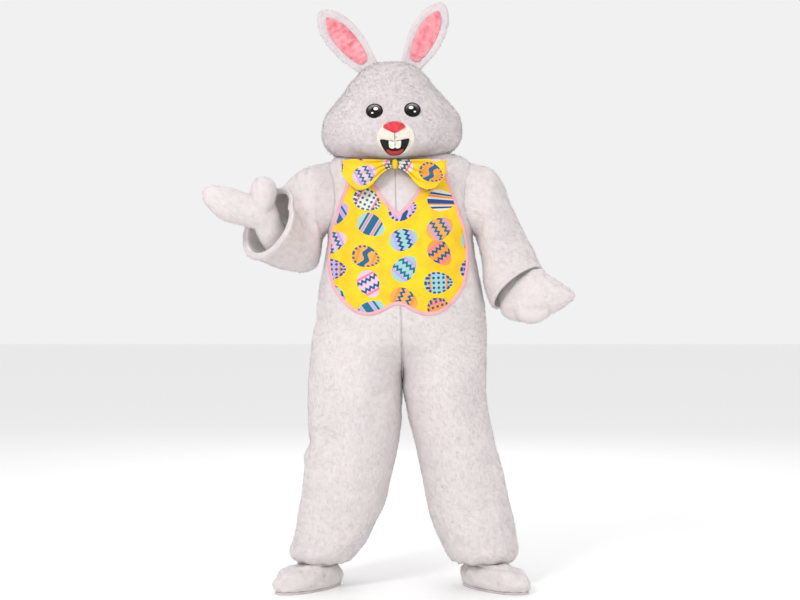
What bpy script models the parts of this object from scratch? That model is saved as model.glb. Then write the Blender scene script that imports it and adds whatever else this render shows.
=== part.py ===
"""Bunny mascot costume, in the hollow shape it has when worn: jumpsuit, vest, bow tie, head, mitts and feet.

Metres, +Z up, front towards -Y, +X on the wearer's left. Heights in the tables are above the floor, and
the origin is at the wearer's shoulders, SHOULDER_HEIGHT above it. Distances out are away from the middle of
the body.
"""
import math

import bmesh
import bpy
from mathutils import Matrix, Vector

SHOULDER_HEIGHT = 1.500

# Cloth and gaps
PLUSH = 0.006             # short-pile plush, with its pile
HEAD_WALL = 0.010         # foam under plush
SEAM = 0.0003             # clearance between two pieces that meet
LAID = 0.0005             # clearance under what lies on a panel
VEST_CLOTH = 0.0025
BINDING_CLOTH = 0.0045
BINDING_WIDTH = 0.012
BOW_CLOTH = 0.003

RIGHT, LEFT = -1, 1       # sides of the wearer: right is at -X
FRONT, BACK = -1, 1       # front is at -Y
NEAR = 0.001              # step of the differences that give a normal

COLOURS = {
    "plush": (0.86, 0.83, 0.84), "yellow": (0.93, 0.76, 0.06), "pink": (0.90, 0.55, 0.62),
    "satin": (0.91, 0.42, 0.48), "red": (0.80, 0.07, 0.10), "black": (0.02, 0.02, 0.02),
    "white": (0.93, 0.93, 0.91), "cream": (0.87, 0.85, 0.78), "grey": (0.45, 0.46, 0.48),
}
ROUGHNESS = {"black": 0.15, "white": 0.30, "red": 0.60, "grey": 0.40}


class Track:
    """A short table read smoothly: each column runs through its rows and never overshoots them."""

    def __init__(self, columns, rows):
        self.keys = [row[0] for row in rows]
        self.columns = {}
        for place, name in enumerate(columns.split()[1:], start=1):
            values = [row[place] for row in rows]
            self.columns[name] = (values, self.slopes(values))

    def slopes(self, values):
        gaps = list(zip(self.keys, self.keys[1:], values, values[1:]))
        rates = [(b - a) / (above - below) for below, above, a, b in gaps]
        inner = [0.0 if a * b <= 0 else 2 * a * b / (a + b) for a, b in zip(rates, rates[1:])]
        return [rates[0]] + inner + [rates[-1]]

    def at(self, name, key):
        values, slopes = self.columns[name]
        if key <= self.keys[0]:
            return values[0] + slopes[0] * (key - self.keys[0])
        if key >= self.keys[-1]:
            return values[-1] + slopes[-1] * (key - self.keys[-1])
        row = max(index for index, known in enumerate(self.keys) if known <= key)
        step = self.keys[row + 1] - self.keys[row]
        t = (key - self.keys[row]) / step
        rise = values[row + 1] - values[row]
        ease = t * t * (3 - 2 * t)
        return (values[row] + rise * ease + step * slopes[row] * t * (1 - t) ** 2
                - step * slopes[row + 1] * t * t * (1 - t))


# Jumpsuit: distance out to the side seam of each side
SIDE = Track("height right left", [
    (0.092, 0.375, 0.405), (0.108, 0.394, 0.416), (0.135, 0.394, 0.422), (0.162, 0.385, 0.420),
    (0.234, 0.369, 0.409), (0.306, 0.359, 0.392), (0.378, 0.346, 0.376), (0.450, 0.338, 0.358),
    (0.522, 0.330, 0.342), (0.594, 0.328, 0.324), (0.666, 0.328, 0.311), (0.720, 0.327, 0.308),
    (0.800, 0.322, 0.311), (0.880, 0.315, 0.311), (0.950, 0.301, 0.308), (1.040, 0.292, 0.298),
    (1.100, 0.284, 0.287), (1.160, 0.273, 0.274), (1.220, 0.265, 0.265), (1.270, 0.260, 0.260),
    (1.350, 0.262, 0.262), (1.420, 0.265, 0.265), (1.470, 0.265, 0.265), (1.500, 0.262, 0.262),
    (1.520, 0.250, 0.250), (1.535, 0.232, 0.232), (1.545, 0.200, 0.200), (1.552, 0.165, 0.165),
    (1.556, 0.122, 0.122),
])
INSEAM = Track("height right left", [
    (0.092, 0.178, 0.186), (0.108, 0.163, 0.173), (0.135, 0.142, 0.159), (0.162, 0.121, 0.146),
    (0.234, 0.085, 0.114), (0.306, 0.052, 0.096), (0.378, 0.034, 0.083), (0.450, 0.018, 0.068),
    (0.522, 0.004, 0.054), (0.594, -0.004, 0.036), (0.666, -0.006, 0.020), (0.720, -0.008, 0.010),
    (0.950, -0.008, 0.010),
])
# Half depths of trunk and legs, and how far the trunk has parted into legs
DEPTH = Track("height front back", [
    (0.092, 0.114, 0.100), (0.108, 0.130, 0.121), (0.135, 0.139, 0.135), (0.234, 0.135, 0.145),
    (0.378, 0.142, 0.150), (0.450, 0.146, 0.153), (0.594, 0.155, 0.165), (0.666, 0.165, 0.172),
    (0.720, 0.172, 0.178), (0.800, 0.190, 0.188), (0.880, 0.200, 0.190), (0.950, 0.205, 0.185),
    (1.040, 0.208, 0.178), (1.100, 0.207, 0.172), (1.160, 0.203, 0.166), (1.220, 0.197, 0.160),
    (1.270, 0.190, 0.157), (1.350, 0.178, 0.154), (1.420, 0.163, 0.150), (1.470, 0.149, 0.142),
    (1.500, 0.138, 0.132), (1.520, 0.130, 0.122), (1.535, 0.123, 0.114), (1.545, 0.116, 0.106),
    (1.552, 0.108, 0.098), (1.556, 0.098, 0.088),
])
SPLIT = Track("height split", [(0.720, 1.0), (0.800, 0.55), (0.880, 0.12), (0.950, 0.0)])
TRUNK_START = 0.950
LEGS_END = 0.720
CENTRE = Track("height x", [(0.720, 0.009), (0.950, 0.005), (1.200, -0.010), (1.450, -0.016),
                            (1.556, -0.018)])

# Armhole: a ring on the side of the trunk, in equal turns from its lowest point to its highest
ARMHOLE_HEIGHT = 1.395
ARMHOLE_RADIUS = 0.125
ARMHOLE_REACH = 31.0 / 90.0       # how far round to the front and back it runs, as a share of a panel
ARMHOLE_STEPS = 10
LEG_ROWS = [0.092, 0.108, 0.125, 0.150, 0.190, 0.250, 0.320, 0.400, 0.480, 0.560, 0.640, 0.700, 0.735, 0.770,
            0.810, 0.860, 0.920, 0.990, 1.060, 1.130, 1.200]
SHOULDER_ROWS = [1.535, 1.545, 1.552, 1.556]
PANEL_COLUMNS = 6

# Centre back zip
ZIP_LOW, ZIP_HIGH = 0.985, 1.540
ZIP_SLOT = 0.0035                 # half of the slot between the back panels
CHAIN_HALF = 0.0030
CHAIN_PROUD, CHAIN_DEEP = 0.0010, 0.0040

# Soft troughs (push below 0) and ridges: from one point to another, how wide and how deep
FOLDS = [
    # from x, y, height         to x, y, height         reach   push
    ((-0.335, -0.02, 0.520), (-0.235, -0.150, 0.548), 0.026, -0.011),
    ((-0.345, 0.02, 0.505), (-0.250, 0.150, 0.520), 0.026, -0.008),
    ((-0.345, -0.01, 0.465), (-0.255, -0.140, 0.485), 0.032, 0.006),
    ((-0.365, -0.03, 0.325), (-0.250, -0.140, 0.345), 0.026, -0.006),
    ((-0.395, -0.03, 0.205), (-0.200, -0.130, 0.190), 0.020, -0.006),
    ((-0.395, -0.04, 0.150), (-0.170, -0.100, 0.145), 0.018, -0.006),
    ((-0.385, 0.05, 0.180), (-0.180, 0.120, 0.170), 0.020, -0.006),
    ((-0.130, -0.190, 0.860), (-0.190, -0.150, 0.330), 0.050, 0.006),
    ((-0.255, -0.160, 0.820), (-0.300, -0.110, 0.420), 0.040, -0.005),
    ((0.130, -0.190, 0.870), (0.230, -0.145, 0.320), 0.050, 0.006),
    ((0.240, -0.150, 0.800), (0.330, -0.110, 0.400), 0.040, -0.005),
    ((0.390, -0.04, 0.310), (0.260, -0.135, 0.285), 0.026, -0.006),
    ((0.410, -0.04, 0.190), (0.200, -0.120, 0.165), 0.020, -0.006),
    ((0.410, 0.05, 0.200), (0.210, 0.125, 0.170), 0.020, -0.006),
    ((0.345, 0.01, 0.500), (0.210, -0.145, 0.520), 0.030, -0.005),
    ((0.340, 0.03, 0.510), (0.180, 0.155, 0.530), 0.028, -0.008),
    ((-0.270, 0.13, 0.735), (-0.070, 0.175, 0.715), 0.022, -0.006),
    ((0.070, 0.175, 0.715), (0.270, 0.130, 0.735), 0.022, -0.006),
    ((-0.240, 0.12, 1.040), (0.180, 0.160, 1.015), 0.028, 0.005),
    ((-0.200, 0.14, 0.960), (0.240, 0.120, 0.975), 0.024, -0.004),
    ((-0.285, -0.06, 0.960), (-0.170, -0.170, 0.925), 0.030, -0.005),
    ((0.290, -0.06, 0.950), (0.180, -0.170, 0.915), 0.030, -0.005),
    # Right sleeve: the crook of the elbow and the slack over it
    ((-0.385, -0.150, 1.365), (-0.300, -0.110, 1.290), 0.020, -0.011),
    ((-0.380, -0.110, 1.420), (-0.300, -0.090, 1.370), 0.028, 0.006),
    ((-0.340, 0.100, 1.300), (-0.420, 0.070, 1.230), 0.024, -0.006),
    ((-0.330, 0.020, 1.150), (-0.400, 0.060, 1.180), 0.022, -0.005),
    # Left sleeve
    ((0.455, -0.060, 1.180), (0.370, -0.110, 1.165), 0.018, -0.006),
    ((0.430, -0.080, 1.255), (0.310, -0.100, 1.215), 0.024, -0.006),
    ((0.340, 0.100, 1.300), (0.420, 0.060, 1.230), 0.024, -0.006),
    ((0.400, 0.060, 1.130), (0.330, 0.060, 1.090), 0.018, -0.005),
]

# Sleeve rings: highest and lowest point (out, y, height), half width, and how far the ring has turned
SLEEVE_RINGS = {
    RIGHT: [
        # highest                  lowest                     wide   turn
        ((0.315, 0.000, 1.508), (0.275, 0.000, 1.246), 0.100, 0),
        ((0.355, -0.005, 1.488), (0.285, 0.010, 1.197), 0.105, 8),
        ((0.385, -0.020, 1.463), (0.304, 0.020, 1.147), 0.105, 18),
        ((0.402, -0.035, 1.443), (0.345, 0.010, 1.127), 0.108, 28),
        ((0.412, -0.048, 1.430), (0.395, -0.015, 1.133), 0.112, 36),
        ((0.420, -0.060, 1.422), (0.447, -0.060, 1.150), 0.116, 42),
        ((0.430, -0.070, 1.415), (0.505, -0.115, 1.180), 0.118, 45),
    ],
    LEFT: [
        ((0.325, 0.000, 1.495), (0.274, 0.000, 1.250), 0.100, 0),
        ((0.365, 0.000, 1.450), (0.281, 0.000, 1.225), 0.102, 5),
        ((0.397, -0.005, 1.366), (0.291, 0.000, 1.190), 0.100, 12),
        ((0.432, -0.015, 1.285), (0.302, 0.000, 1.145), 0.098, 20),
        ((0.462, -0.035, 1.215), (0.309, 0.000, 1.092), 0.100, 28),
        ((0.480, -0.055, 1.168), (0.325, -0.005, 1.040), 0.100, 34),
        ((0.484, -0.075, 1.142), (0.352, -0.030, 0.998), 0.094, 38),
    ],
}

# Mitts: rings as on the sleeves, from the wrist to the tip
MITT_COLUMNS = 14
THUMB_COLUMNS = 10
MITT_RINGS = {
    RIGHT: [
        ((0.398, -0.035, 1.262), (0.424, -0.053, 1.1545), 0.044, 42),
        ((0.428, -0.065, 1.310), (0.475, -0.092, 1.215), 0.044, 40),
        ((0.440, -0.078, 1.352), (0.498, -0.108, 1.255), 0.044, 36),
        ((0.463, -0.095, 1.392), (0.510, -0.118, 1.275), 0.042, 30),
        ((0.505, -0.110, 1.398), (0.540, -0.125, 1.285), 0.040, 24),
        ((0.560, -0.124, 1.408), (0.580, -0.134, 1.296), 0.038, 20),
        ((0.615, -0.140, 1.424), (0.620, -0.146, 1.308), 0.036, 20),
        ((0.655, -0.150, 1.430), (0.652, -0.154, 1.332), 0.030, 20),
        ((0.680, -0.157, 1.421), (0.676, -0.160, 1.358), 0.020, 20),
        ((0.690, -0.161, 1.403), (0.688, -0.163, 1.380), 0.008, 20),
    ],
    LEFT: [
        ((0.454, -0.043, 1.161), (0.350, -0.015, 1.050), 0.050, 30),
        ((0.4795, -0.071, 1.1365), (0.364, -0.036, 1.008), 0.055, 36),
        ((0.499, -0.092, 1.135), (0.368, -0.055, 0.972), 0.060, 38),
        ((0.515, -0.105, 1.118), (0.405, -0.090, 0.950), 0.060, 40),
        ((0.535, -0.115, 1.106), (0.455, -0.112, 0.946), 0.057, 42),
        ((0.560, -0.122, 1.088), (0.505, -0.126, 0.962), 0.050, 44),
        ((0.584, -0.127, 1.072), (0.550, -0.132, 0.985), 0.038, 45),
        ((0.604, -0.130, 1.058), (0.586, -0.133, 1.010), 0.022, 45),
        ((0.613, -0.131, 1.046), (0.606, -0.133, 1.026), 0.009, 45),
    ],
}
# Thumbs: centre (out, y, height) and radius, from inside the hand to the tip
THUMB_RINGS = {
    RIGHT: [
        ((0.487, -0.118, 1.330), 0.030), ((0.482, -0.126, 1.370), 0.041), ((0.479, -0.128, 1.402), 0.044),
        ((0.477, -0.128, 1.432), 0.041), ((0.475, -0.126, 1.451), 0.028), ((0.474, -0.125, 1.459), 0.010),
    ],
    LEFT: [
        ((0.400, -0.090, 1.000), 0.022), ((0.420, -0.120, 0.985), 0.030), ((0.450, -0.142, 0.974), 0.031),
        ((0.485, -0.155, 0.974), 0.028), ((0.512, -0.160, 0.979), 0.018), ((0.521, -0.161, 0.981), 0.006),
    ],
}
MITT_NUDGE = {RIGHT: (0.0002, -0.0006, -0.0016), LEFT: (0.0009, -0.0003, 0.0015)}   # seats each in its sleeve

# Foot covers: rings from the sole to the ankle, along the foot and across it
FOOT_TURN = 43.0                   # degrees out
FOOT_PLACE = {RIGHT: (0.323, -0.070), LEFT: (0.336, -0.070)}
FOOT_RINGS = [
    # height  along  half length  half width
    (0.0085, 0.000, 0.150, 0.064),
    (0.028, 0.000, 0.156, 0.069),
    (0.052, -0.003, 0.150, 0.067),
    (0.070, -0.014, 0.130, 0.061),
    (0.081, -0.032, 0.100, 0.055),
    (0.089, -0.050, 0.070, 0.050),
    (0.104, -0.060, 0.053, 0.045),
]
FOOT_RISE = {RIGHT: 1.034, LEFT: 1.056}        # brings each instep up to its trouser hem
FOOT_COLUMNS = 16
TOE_SPREAD = 0.14                  # how much broader the toes are than the middle, and the heel narrower
SOLE_THICK = 0.008

# Head, in its own upright frame over HEAD_PLACE: half width, and depths to the front and back
HEAD_PLACE = (-0.027, -0.005)
HEAD_YAW, HEAD_ROLL = 2.0, -2.0    # degrees: it looks a little to the wearer's left, and leans to the right
HEAD_PIVOT = 1.600
HEAD = Track("height wide front back", [
    (1.518, 0.165, 0.150, 0.130), (1.535, 0.188, 0.178, 0.140), (1.552, 0.211, 0.196, 0.150),
    (1.566, 0.228, 0.205, 0.157), (1.584, 0.240, 0.210, 0.166), (1.602, 0.247, 0.212, 0.175),
    (1.634, 0.251, 0.212, 0.186), (1.674, 0.243, 0.207, 0.190), (1.710, 0.221, 0.198, 0.187),
    (1.746, 0.190, 0.186, 0.178), (1.782, 0.158, 0.166, 0.160), (1.818, 0.132, 0.138, 0.134),
    (1.840, 0.114, 0.113, 0.110), (1.856, 0.094, 0.088, 0.086), (1.868, 0.071, 0.060, 0.058),
    (1.876, 0.050, 0.030, 0.030), (1.879, 0.036, 0.0004, 0.0004),
])
HEAD_ROWS = [0.0, 0.06, 0.12, 0.20, 0.29, 0.39, 0.49, 0.59, 0.69, 0.78, 0.86, 0.92, 0.96, 0.99, 1.0]
HEAD_TOP = 1.879
HEAD_RIM = {FRONT: 1.518, BACK: 1.550}
HEAD_RIM_SIDE = 1.5445
HEAD_COLUMNS = 10
MUZZLE_AT, MUZZLE_REACH, MUZZLE_PUSH = (0.0, 1.585), 0.075, 0.030

EAR_WIDTH = Track("along half", [(0.0, 0.034), (0.10, 0.036), (0.24, 0.046), (0.41, 0.058), (0.60, 0.062),
                                 (0.78, 0.055), (0.91, 0.036), (0.97, 0.020), (1.0, 0.006)])
EAR_ROWS = [0.0, 0.10, 0.18, 0.27, 0.37, 0.47, 0.57, 0.67, 0.76, 0.84, 0.91, 0.965, 1.0]
EAR_ACROSS = [-1.0, -0.86, -0.62, -0.31, 0.0, 0.31, 0.62, 0.86, 1.0]
EAR_THICK, EAR_CUP, EAR_SUNK = 0.011, 0.014, 0.030
LINING_ROWS = slice(3, 11)         # the rows and columns of the ear that its lining covers
LINING_COLUMNS = slice(2, 7)
LINING_THICK = 0.002
EARS = {
    # base x, y, height          tip x, y, height
    RIGHT: ((-0.070, -0.010, 1.855), (-0.243, 0.010, 2.072)),
    LEFT: ((0.070, -0.010, 1.855), (0.199, 0.010, 2.088)),
}
EYES = {RIGHT: (-0.066, 1.683), LEFT: (0.066, 1.683)}
EYE_SIZE = (0.0295, 0.026)
NOSE_AT, NOSE_SIZE = (0.0, 1.620), (0.038, 0.020)
MUZZLE_PATCH_AT, MUZZLE_PATCH_SIZE = (0.004, 1.585), (0.064, 0.054)
PATCH_THICK = 0.0036
PATCH_NEAR, PATCH_FAR = -0.35, -0.165     # the depths between which a patch may lie on the face
PATCH_POINTS = 22
# Domes of the eyes and nose: share of the outline kept, and share of the crown stood out
BOSS_PROFILE = [(1.00, 0.25), (0.93, 0.60), (0.75, 0.85), (0.42, 0.98), (0.10, 1.00)]
BOSS_POINTS, BOSS_SUNK = 16, 0.030
EYE_CROWN, NOSE_CROWN, NOSE_NARROW = 0.011, 0.020, 0.45
# Mouth parts: half outlines, distance from the middle and height, from the top down
MOUTH_HALF = [(0.000, 1.574), (0.020, 1.577), (0.038, 1.581), (0.048, 1.580), (0.044, 1.563),
              (0.032, 1.544), (0.016, 1.533), (0.000, 1.531)]
TEETH_HALF = [(0.000, 1.5735), (0.018, 1.576), (0.0195, 1.562), (0.017, 1.550), (0.004, 1.549),
              (0.000, 1.554)]
LIP_HALF = [(0.000, 1.544), (0.014, 1.546), (0.030, 1.553), (0.030, 1.545), (0.016, 1.534),
            (0.000, 1.5325)]
MOUTH_THICK, TEETH_THICK, LIP_THICK = 0.0010, 0.0023, 0.0029

# Vest: half outline, distance from its middle and height; the neck first, then the shoulder and the side
VEST_MIDDLE = -0.006
VEST_HALF = [(0.000, 1.328), (0.037, 1.365), (0.076, 1.4215), (0.105, 1.470), (0.125, 1.505),
             (0.165, 1.505), (0.182, 1.436), (0.210, 1.360), (0.222, 1.318), (0.240, 1.270),
             (0.249, 1.190), (0.240, 1.100), (0.222, 1.056), (0.195, 1.020), (0.172, 0.998),
             (0.148, 0.982), (0.108, 0.972), (0.075, 0.977), (0.045, 0.990), (0.020, 1.004),
             (0.000, 1.010)]
VEST_FIRST_ROW, VEST_LAST_ROW = 0.920, 1.520
VEST_NEAR, VEST_FAR = -0.400, 0.020            # the depths between which its cutters run

# Bow tie: half height under and over the middle of the knot, by distance from it
BOW_AT = (-0.0174, 1.500)
BOW_WING = Track("out under over", [(0.014, 0.015, 0.013), (0.043, 0.033, 0.013), (0.070, 0.064, 0.014),
                                    (0.096, 0.085, 0.015), (0.122, 0.092, 0.016), (0.148, 0.081, 0.015),
                                    (0.168, 0.058, 0.013), (0.184, 0.032, 0.010)])
BOW_LENGTH = {RIGHT: 0.186, LEFT: 0.178}
BOW_FRONT, BOW_BACK = -0.195, -0.168
BOW_STEPS, BOW_END_STEPS = 7, 6    # stretches along each face of a loop, and round its outer end
BOW_LEVELS = (0.0, 0.33, 0.67, 1.0)
BOW_PINCH, BOW_PINCH_REACH = 0.55, 0.060       # how much shallower it is at the knot, and how far out
KNOT_SIZE = (0.013, 0.017)         # half width and half height
KNOT_SUNK = 0.005                  # how far its back would reach into the suit, before it is cut to it
KNOT_TUCK = 0.0009                 # the loops start this far inside the knot's widest point

# Zip slider and pull tab, in the frame of the zip's surface
SLIDER_SIZE = (0.0090, 0.0120, 0.0030)      # width, height, thickness
CHEEK_SIZE = (0.0016, 0.0052, 0.0046)
CHEEK_SUNK = 0.0004
TAB_GAP = 0.0056                            # between the cheeks
TAB_BARREL = 0.0015
TAB_LENGTH, TAB_WIDE, TAB_NECK, TAB_THICK = 0.026, 0.0075, 0.0048, 0.0014
TAB_NECK_END = 0.0070
TAB_LAP = 0.0010                            # of the neck in the blade
SLIDER_ROW, SLIDER_SHARE = 6, 0.65          # the armhole row it sits above, and how far up to the next


def new_material(name):
    """The part's plain material of that finish, made once."""
    known = bpy.data.materials.get(name)
    if known:
        return known
    finish = bpy.data.materials.new(name)
    finish.use_nodes = True
    surface = finish.node_tree.nodes["Principled BSDF"]
    surface.inputs["Base Color"].default_value = (*COLOURS[name], 1.0)
    surface.inputs["Roughness"].default_value = ROUGHNESS.get(name, 0.9)
    surface.inputs["Metallic"].default_value = 1.0 if name == "grey" else 0.0
    return finish


def new_collection(name):
    made = bpy.data.collections.new(name)
    bpy.context.scene.collection.children.link(made)
    return made


def new_piece(name, mesh_points, finish=None):
    """An object from a bmesh: a piece of the costume, or a cutter where no finish is given."""
    bmesh.ops.recalc_face_normals(mesh_points, faces=mesh_points.faces[:])
    mesh = bpy.data.meshes.new(name)
    mesh_points.to_mesh(mesh)
    mesh_points.free()
    piece = bpy.data.objects.new(name, mesh)
    if finish:
        mesh.materials.append(new_material(finish))
        mesh.shade_smooth()
        mesh.set_sharp_from_angle(angle=math.radians(45))
        costume.objects.link(piece)
    else:
        piece.hide_render = True
        piece.display_type = "WIRE"
        cutters.objects.link(piece)
    return piece


def boolean(piece, cutter, operation):
    step = piece.modifiers.new(cutter.name, "BOOLEAN")
    step.operation = operation
    step.object = cutter


def placed(x, y, height):
    """A point of the tables in the part's frame."""
    return Vector((x, y, height - SHOULDER_HEIGHT))


def add_sheet(mesh_points, grid, closed):
    """Adds a grid of points as triangles whose diagonals all lean the same way, and returns its vertices."""
    rows = [[mesh_points.verts.new(point) for point in line] for line in grid]
    columns = len(grid[0])
    for low, high in zip(rows, rows[1:]):
        for c in range(columns if closed else columns - 1):
            ahead = (c + 1) % columns
            mesh_points.faces.new((low[c], low[ahead], high[ahead]))
            mesh_points.faces.new((low[c], high[ahead], high[c]))
    return rows


def add_rim(mesh_points, first, second, closed):
    count = len(first)
    for k in range(count if closed else count - 1):
        ahead = (k + 1) % count
        mesh_points.faces.new((first[k], first[ahead], second[ahead]))
        mesh_points.faces.new((first[k], second[ahead], second[k]))


def wall(name, outer, inner, closed, finish=None):
    """A cloth wall between an outer and an inner grid; closed where its columns run right round."""
    mesh_points = bmesh.new()
    outside = add_sheet(mesh_points, outer, closed)
    inside = add_sheet(mesh_points, inner, closed)
    add_rim(mesh_points, outside[0], inside[0], closed)
    add_rim(mesh_points, outside[-1], inside[-1], closed)
    if not closed:
        add_rim(mesh_points, [row[0] for row in outside], [row[0] for row in inside], False)
        add_rim(mesh_points, [row[-1] for row in outside], [row[-1] for row in inside], False)
    return new_piece(name, mesh_points, finish)


def volume(name, grid, finish=None):
    """A closed body: a tube of rings with a cap on each end."""
    mesh_points = bmesh.new()
    rows = add_sheet(mesh_points, grid, True)
    for ring in (rows[0], rows[-1]):
        mesh_points.faces.new(ring)
    return new_piece(name, mesh_points, finish)


def spline(a, b, c, d, t):
    """The point a share t of the way from b to c, on the smooth curve through all four."""
    bend = 2 * a - 5 * b + 4 * c - d
    twist = 3 * b - a - 3 * c + d
    return 0.5 * (2 * b + (c - a) * t + bend * t ** 2 + twist * t ** 3)


def smooth_rows(rows, steps):
    """Rows of points with smooth rows between them, steps to a stretch."""
    last = len(rows) - 1
    result = []
    for low in range(last):
        four = [rows[max(low - 1, 0)], rows[low], rows[low + 1], rows[min(low + 2, last)]]
        for step in range(steps):
            result.append([spline(*points, step / steps) for points in zip(*four)])
    return result + [list(rows[-1])]


def ring_normals(grid):
    """Outward normals of a closed grid, from each point's neighbours."""
    last = len(grid) - 1
    columns = len(grid[0])
    normals = []
    for r, ring in enumerate(grid):
        above, below = grid[min(r + 1, last)], grid[max(r - 1, 0)]
        normals.append([(ring[(c + 1) % columns] - ring[c - 1]).cross(above[c] - below[c]).normalized()
                        for c in range(columns)])
    middle = grid[last // 2]
    centre = sum(middle, Vector()) / columns
    spread = sum((point - centre).dot(normal) for point, normal in zip(middle, normals[last // 2]))
    if spread < 0:
        normals = [[-normal for normal in line] for line in normals]
    return normals


def moved(grid, normals, distance):
    return [[point + normal * distance for point, normal in zip(line, along)]
            for line, along in zip(grid, normals)]


def relief(point):
    """How far the folds move a point of the cloth outwards."""
    total = 0.0
    for start, end, reach, push in FOLDS:
        low, high = placed(*start), placed(*end)
        run = high - low
        share = min(max((point - low).dot(run) / run.length_squared, 0.0), 1.0)
        away = (point - low - run * share).length
        total += push * math.exp(-(away / reach) ** 2)
    return total


def side_name(side):
    return "right" if side == RIGHT else "left"


def suit(side, face, share, height):
    """Outer surface of the jumpsuit: share runs from the centre or inseam (0) to the side seam (1)."""
    edge = side * SIDE.at(side_name(side), height)
    deep = face * DEPTH.at("front" if face == FRONT else "back", height)
    turn = math.pi / 2 * (1 - share)
    centre = CENTRE.at("x", max(height, LEGS_END))
    x = centre + (edge - centre) * math.cos(turn)
    y = deep * math.sin(turn)
    if height < TRUNK_START:
        split = min(SPLIT.at("split", height), 1.0) if height > LEGS_END else 1.0
        inseam = side * INSEAM.at(side_name(side), height)
        leg_x = (inseam + edge) / 2 + (edge - inseam) / 2 * math.cos(2 * turn)
        x += (leg_x - x) * split
        y += (deep * math.sin(2 * turn) - y) * split
    return placed(x, y, height)


def suit_normal(side, face, share, height):
    across = suit(side, face, share + NEAR, height) - suit(side, face, share - NEAR, height)
    upwards = suit(side, face, share, height + NEAR) - suit(side, face, share, height - NEAR)
    return (across.cross(upwards) * -side * face).normalized()


def suit_point(side, face, share, height, proud):
    """A point of the folded cloth, moved out from its face by proud."""
    base = suit(side, face, share, height)
    return base + suit_normal(side, face, share, height) * (relief(base) + proud)


def share_of(distance, side, height):
    """A distance along the cloth as a share of a panel's width."""
    return distance / (math.pi / 2 * SIDE.at(side_name(side), height))


def panel_rows():
    """Each row of a panel: its height and the share at its outer edge, which follows the armhole."""
    rows = [(height, 1.0) for height in LEG_ROWS]
    for step in range(ARMHOLE_STEPS + 1):
        turn = math.pi * step / ARMHOLE_STEPS
        rows.append((ARMHOLE_HEIGHT - ARMHOLE_RADIUS * math.cos(turn), 1.0 - ARMHOLE_REACH * math.sin(turn)))
    return rows + [(height, 1.0) for height in SHOULDER_ROWS]


def panel_shares(side, face, height, edge, trimmed):
    """The shares of a panel's columns, from low X to high X."""
    start, stop = 0.0, edge
    if trimmed:
        zipped = face == BACK and ZIP_LOW < height
        start = share_of(ZIP_SLOT if zipped else SEAM / 2, side, height)
        stop = edge - (share_of(SEAM / 2, side, height) if edge > 0.9999 else 0.0)
    shares = [start + (stop - start) * k / PANEL_COLUMNS for k in range(PANEL_COLUMNS + 1)]
    return shares[::-1] if side == RIGHT else shares


def panel_grid(side, face, proud, trimmed=True):
    return [[suit_point(side, face, share, height, proud)
             for share in panel_shares(side, face, height, edge, trimmed)]
            for height, edge in panel_rows()]


def make_panels():
    for side in (RIGHT, LEFT):
        for face, name in ((FRONT, "front"), (BACK, "back")):
            wall(f"{name}_{side_name(side)}", panel_grid(side, face, 0.0), panel_grid(side, face, -PLUSH),
                 False, "plush")


def armhole_ring(side):
    """The armhole's points, from its lowest up the front and down the back."""
    rows = [row for row in panel_rows() if abs(row[0] - ARMHOLE_HEIGHT) < ARMHOLE_RADIUS + NEAR]
    front = [suit_point(side, FRONT, edge, height, 0.0) for height, edge in rows]
    back = [suit_point(side, BACK, edge, height, 0.0) for height, edge in rows[-2:0:-1]]
    return [point + Vector((side * 2 * SEAM, 0, 0)) for point in front + back]


def ring_points(side, ring, columns, nudge=(0, 0, 0)):
    """The points of one ring of a sleeve or mitt, from its lowest up the front and down the back."""
    high, low, wide, turn = ring
    top = placed(side * (high[0] + nudge[0]), high[1] + nudge[1], high[2] + nudge[2])
    bottom = placed(side * (low[0] + nudge[0]), low[1] + nudge[1], low[2] + nudge[2])
    centre, half = (top + bottom) / 2, (top - bottom) / 2
    forward = Vector((-side * math.sin(math.radians(turn)), -math.cos(math.radians(turn)), 0)) * wide
    turns = [2 * math.pi * k / columns for k in range(columns)]
    return [centre + forward * math.sin(t) - half * math.cos(t) for t in turns]


def make_sleeve(side):
    columns = 2 * ARMHOLE_STEPS
    rows = [armhole_ring(side)] + [ring_points(side, ring, columns) for ring in SLEEVE_RINGS[side]]
    grid = smooth_rows(rows, 2)
    normals = ring_normals(grid)
    outer = [grid[0]] + [[point + normal * relief(point) for point, normal in zip(line, along)]
                         for line, along in zip(grid[1:], normals[1:])]
    wall(f"sleeve_{side_name(side)}", outer, moved(outer, normals, -PLUSH), True, "plush")


def zip_heights():
    return [height for height, _ in panel_rows() if ZIP_LOW < height < ZIP_HIGH]


def make_zip_chain():
    grids = []
    for proud in (CHAIN_PROUD, -CHAIN_DEEP):
        grids.append([[suit_point(side, BACK, share_of(CHAIN_HALF, side, height), height, proud)
                       for side in (RIGHT, LEFT)] for height in zip_heights()])
    wall("zip_chain", grids[0], grids[1], False, "grey")


def zip_frame():
    """Where the slider sits: X across, Y down the zip, Z out from it, its origin on the chain's face."""
    rows = [height for height, _ in panel_rows()]
    start = len(LEG_ROWS) + SLIDER_ROW
    ends = []
    for height in rows[start:start + 2]:
        pair = [suit_point(side, BACK, share_of(CHAIN_HALF, side, height), height, CHAIN_PROUD)
                for side in (RIGHT, LEFT)]
        ends.append((pair[0] + pair[1]) / 2)
    down = (ends[0] - ends[1]).normalized()
    out = Vector((1, 0, 0)).cross(down).normalized()
    across = down.cross(out)
    origin = ends[0].lerp(ends[1], SLIDER_SHARE) + out * SEAM
    frame = Matrix((across, down, out)).transposed().to_4x4()
    frame.translation = origin
    return frame


def add_box(mesh_points, size, centre):
    made = bmesh.ops.create_cube(mesh_points, size=1.0)
    bmesh.ops.scale(mesh_points, vec=size, verts=made["verts"])
    bmesh.ops.translate(mesh_points, vec=centre, verts=made["verts"])


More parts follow.
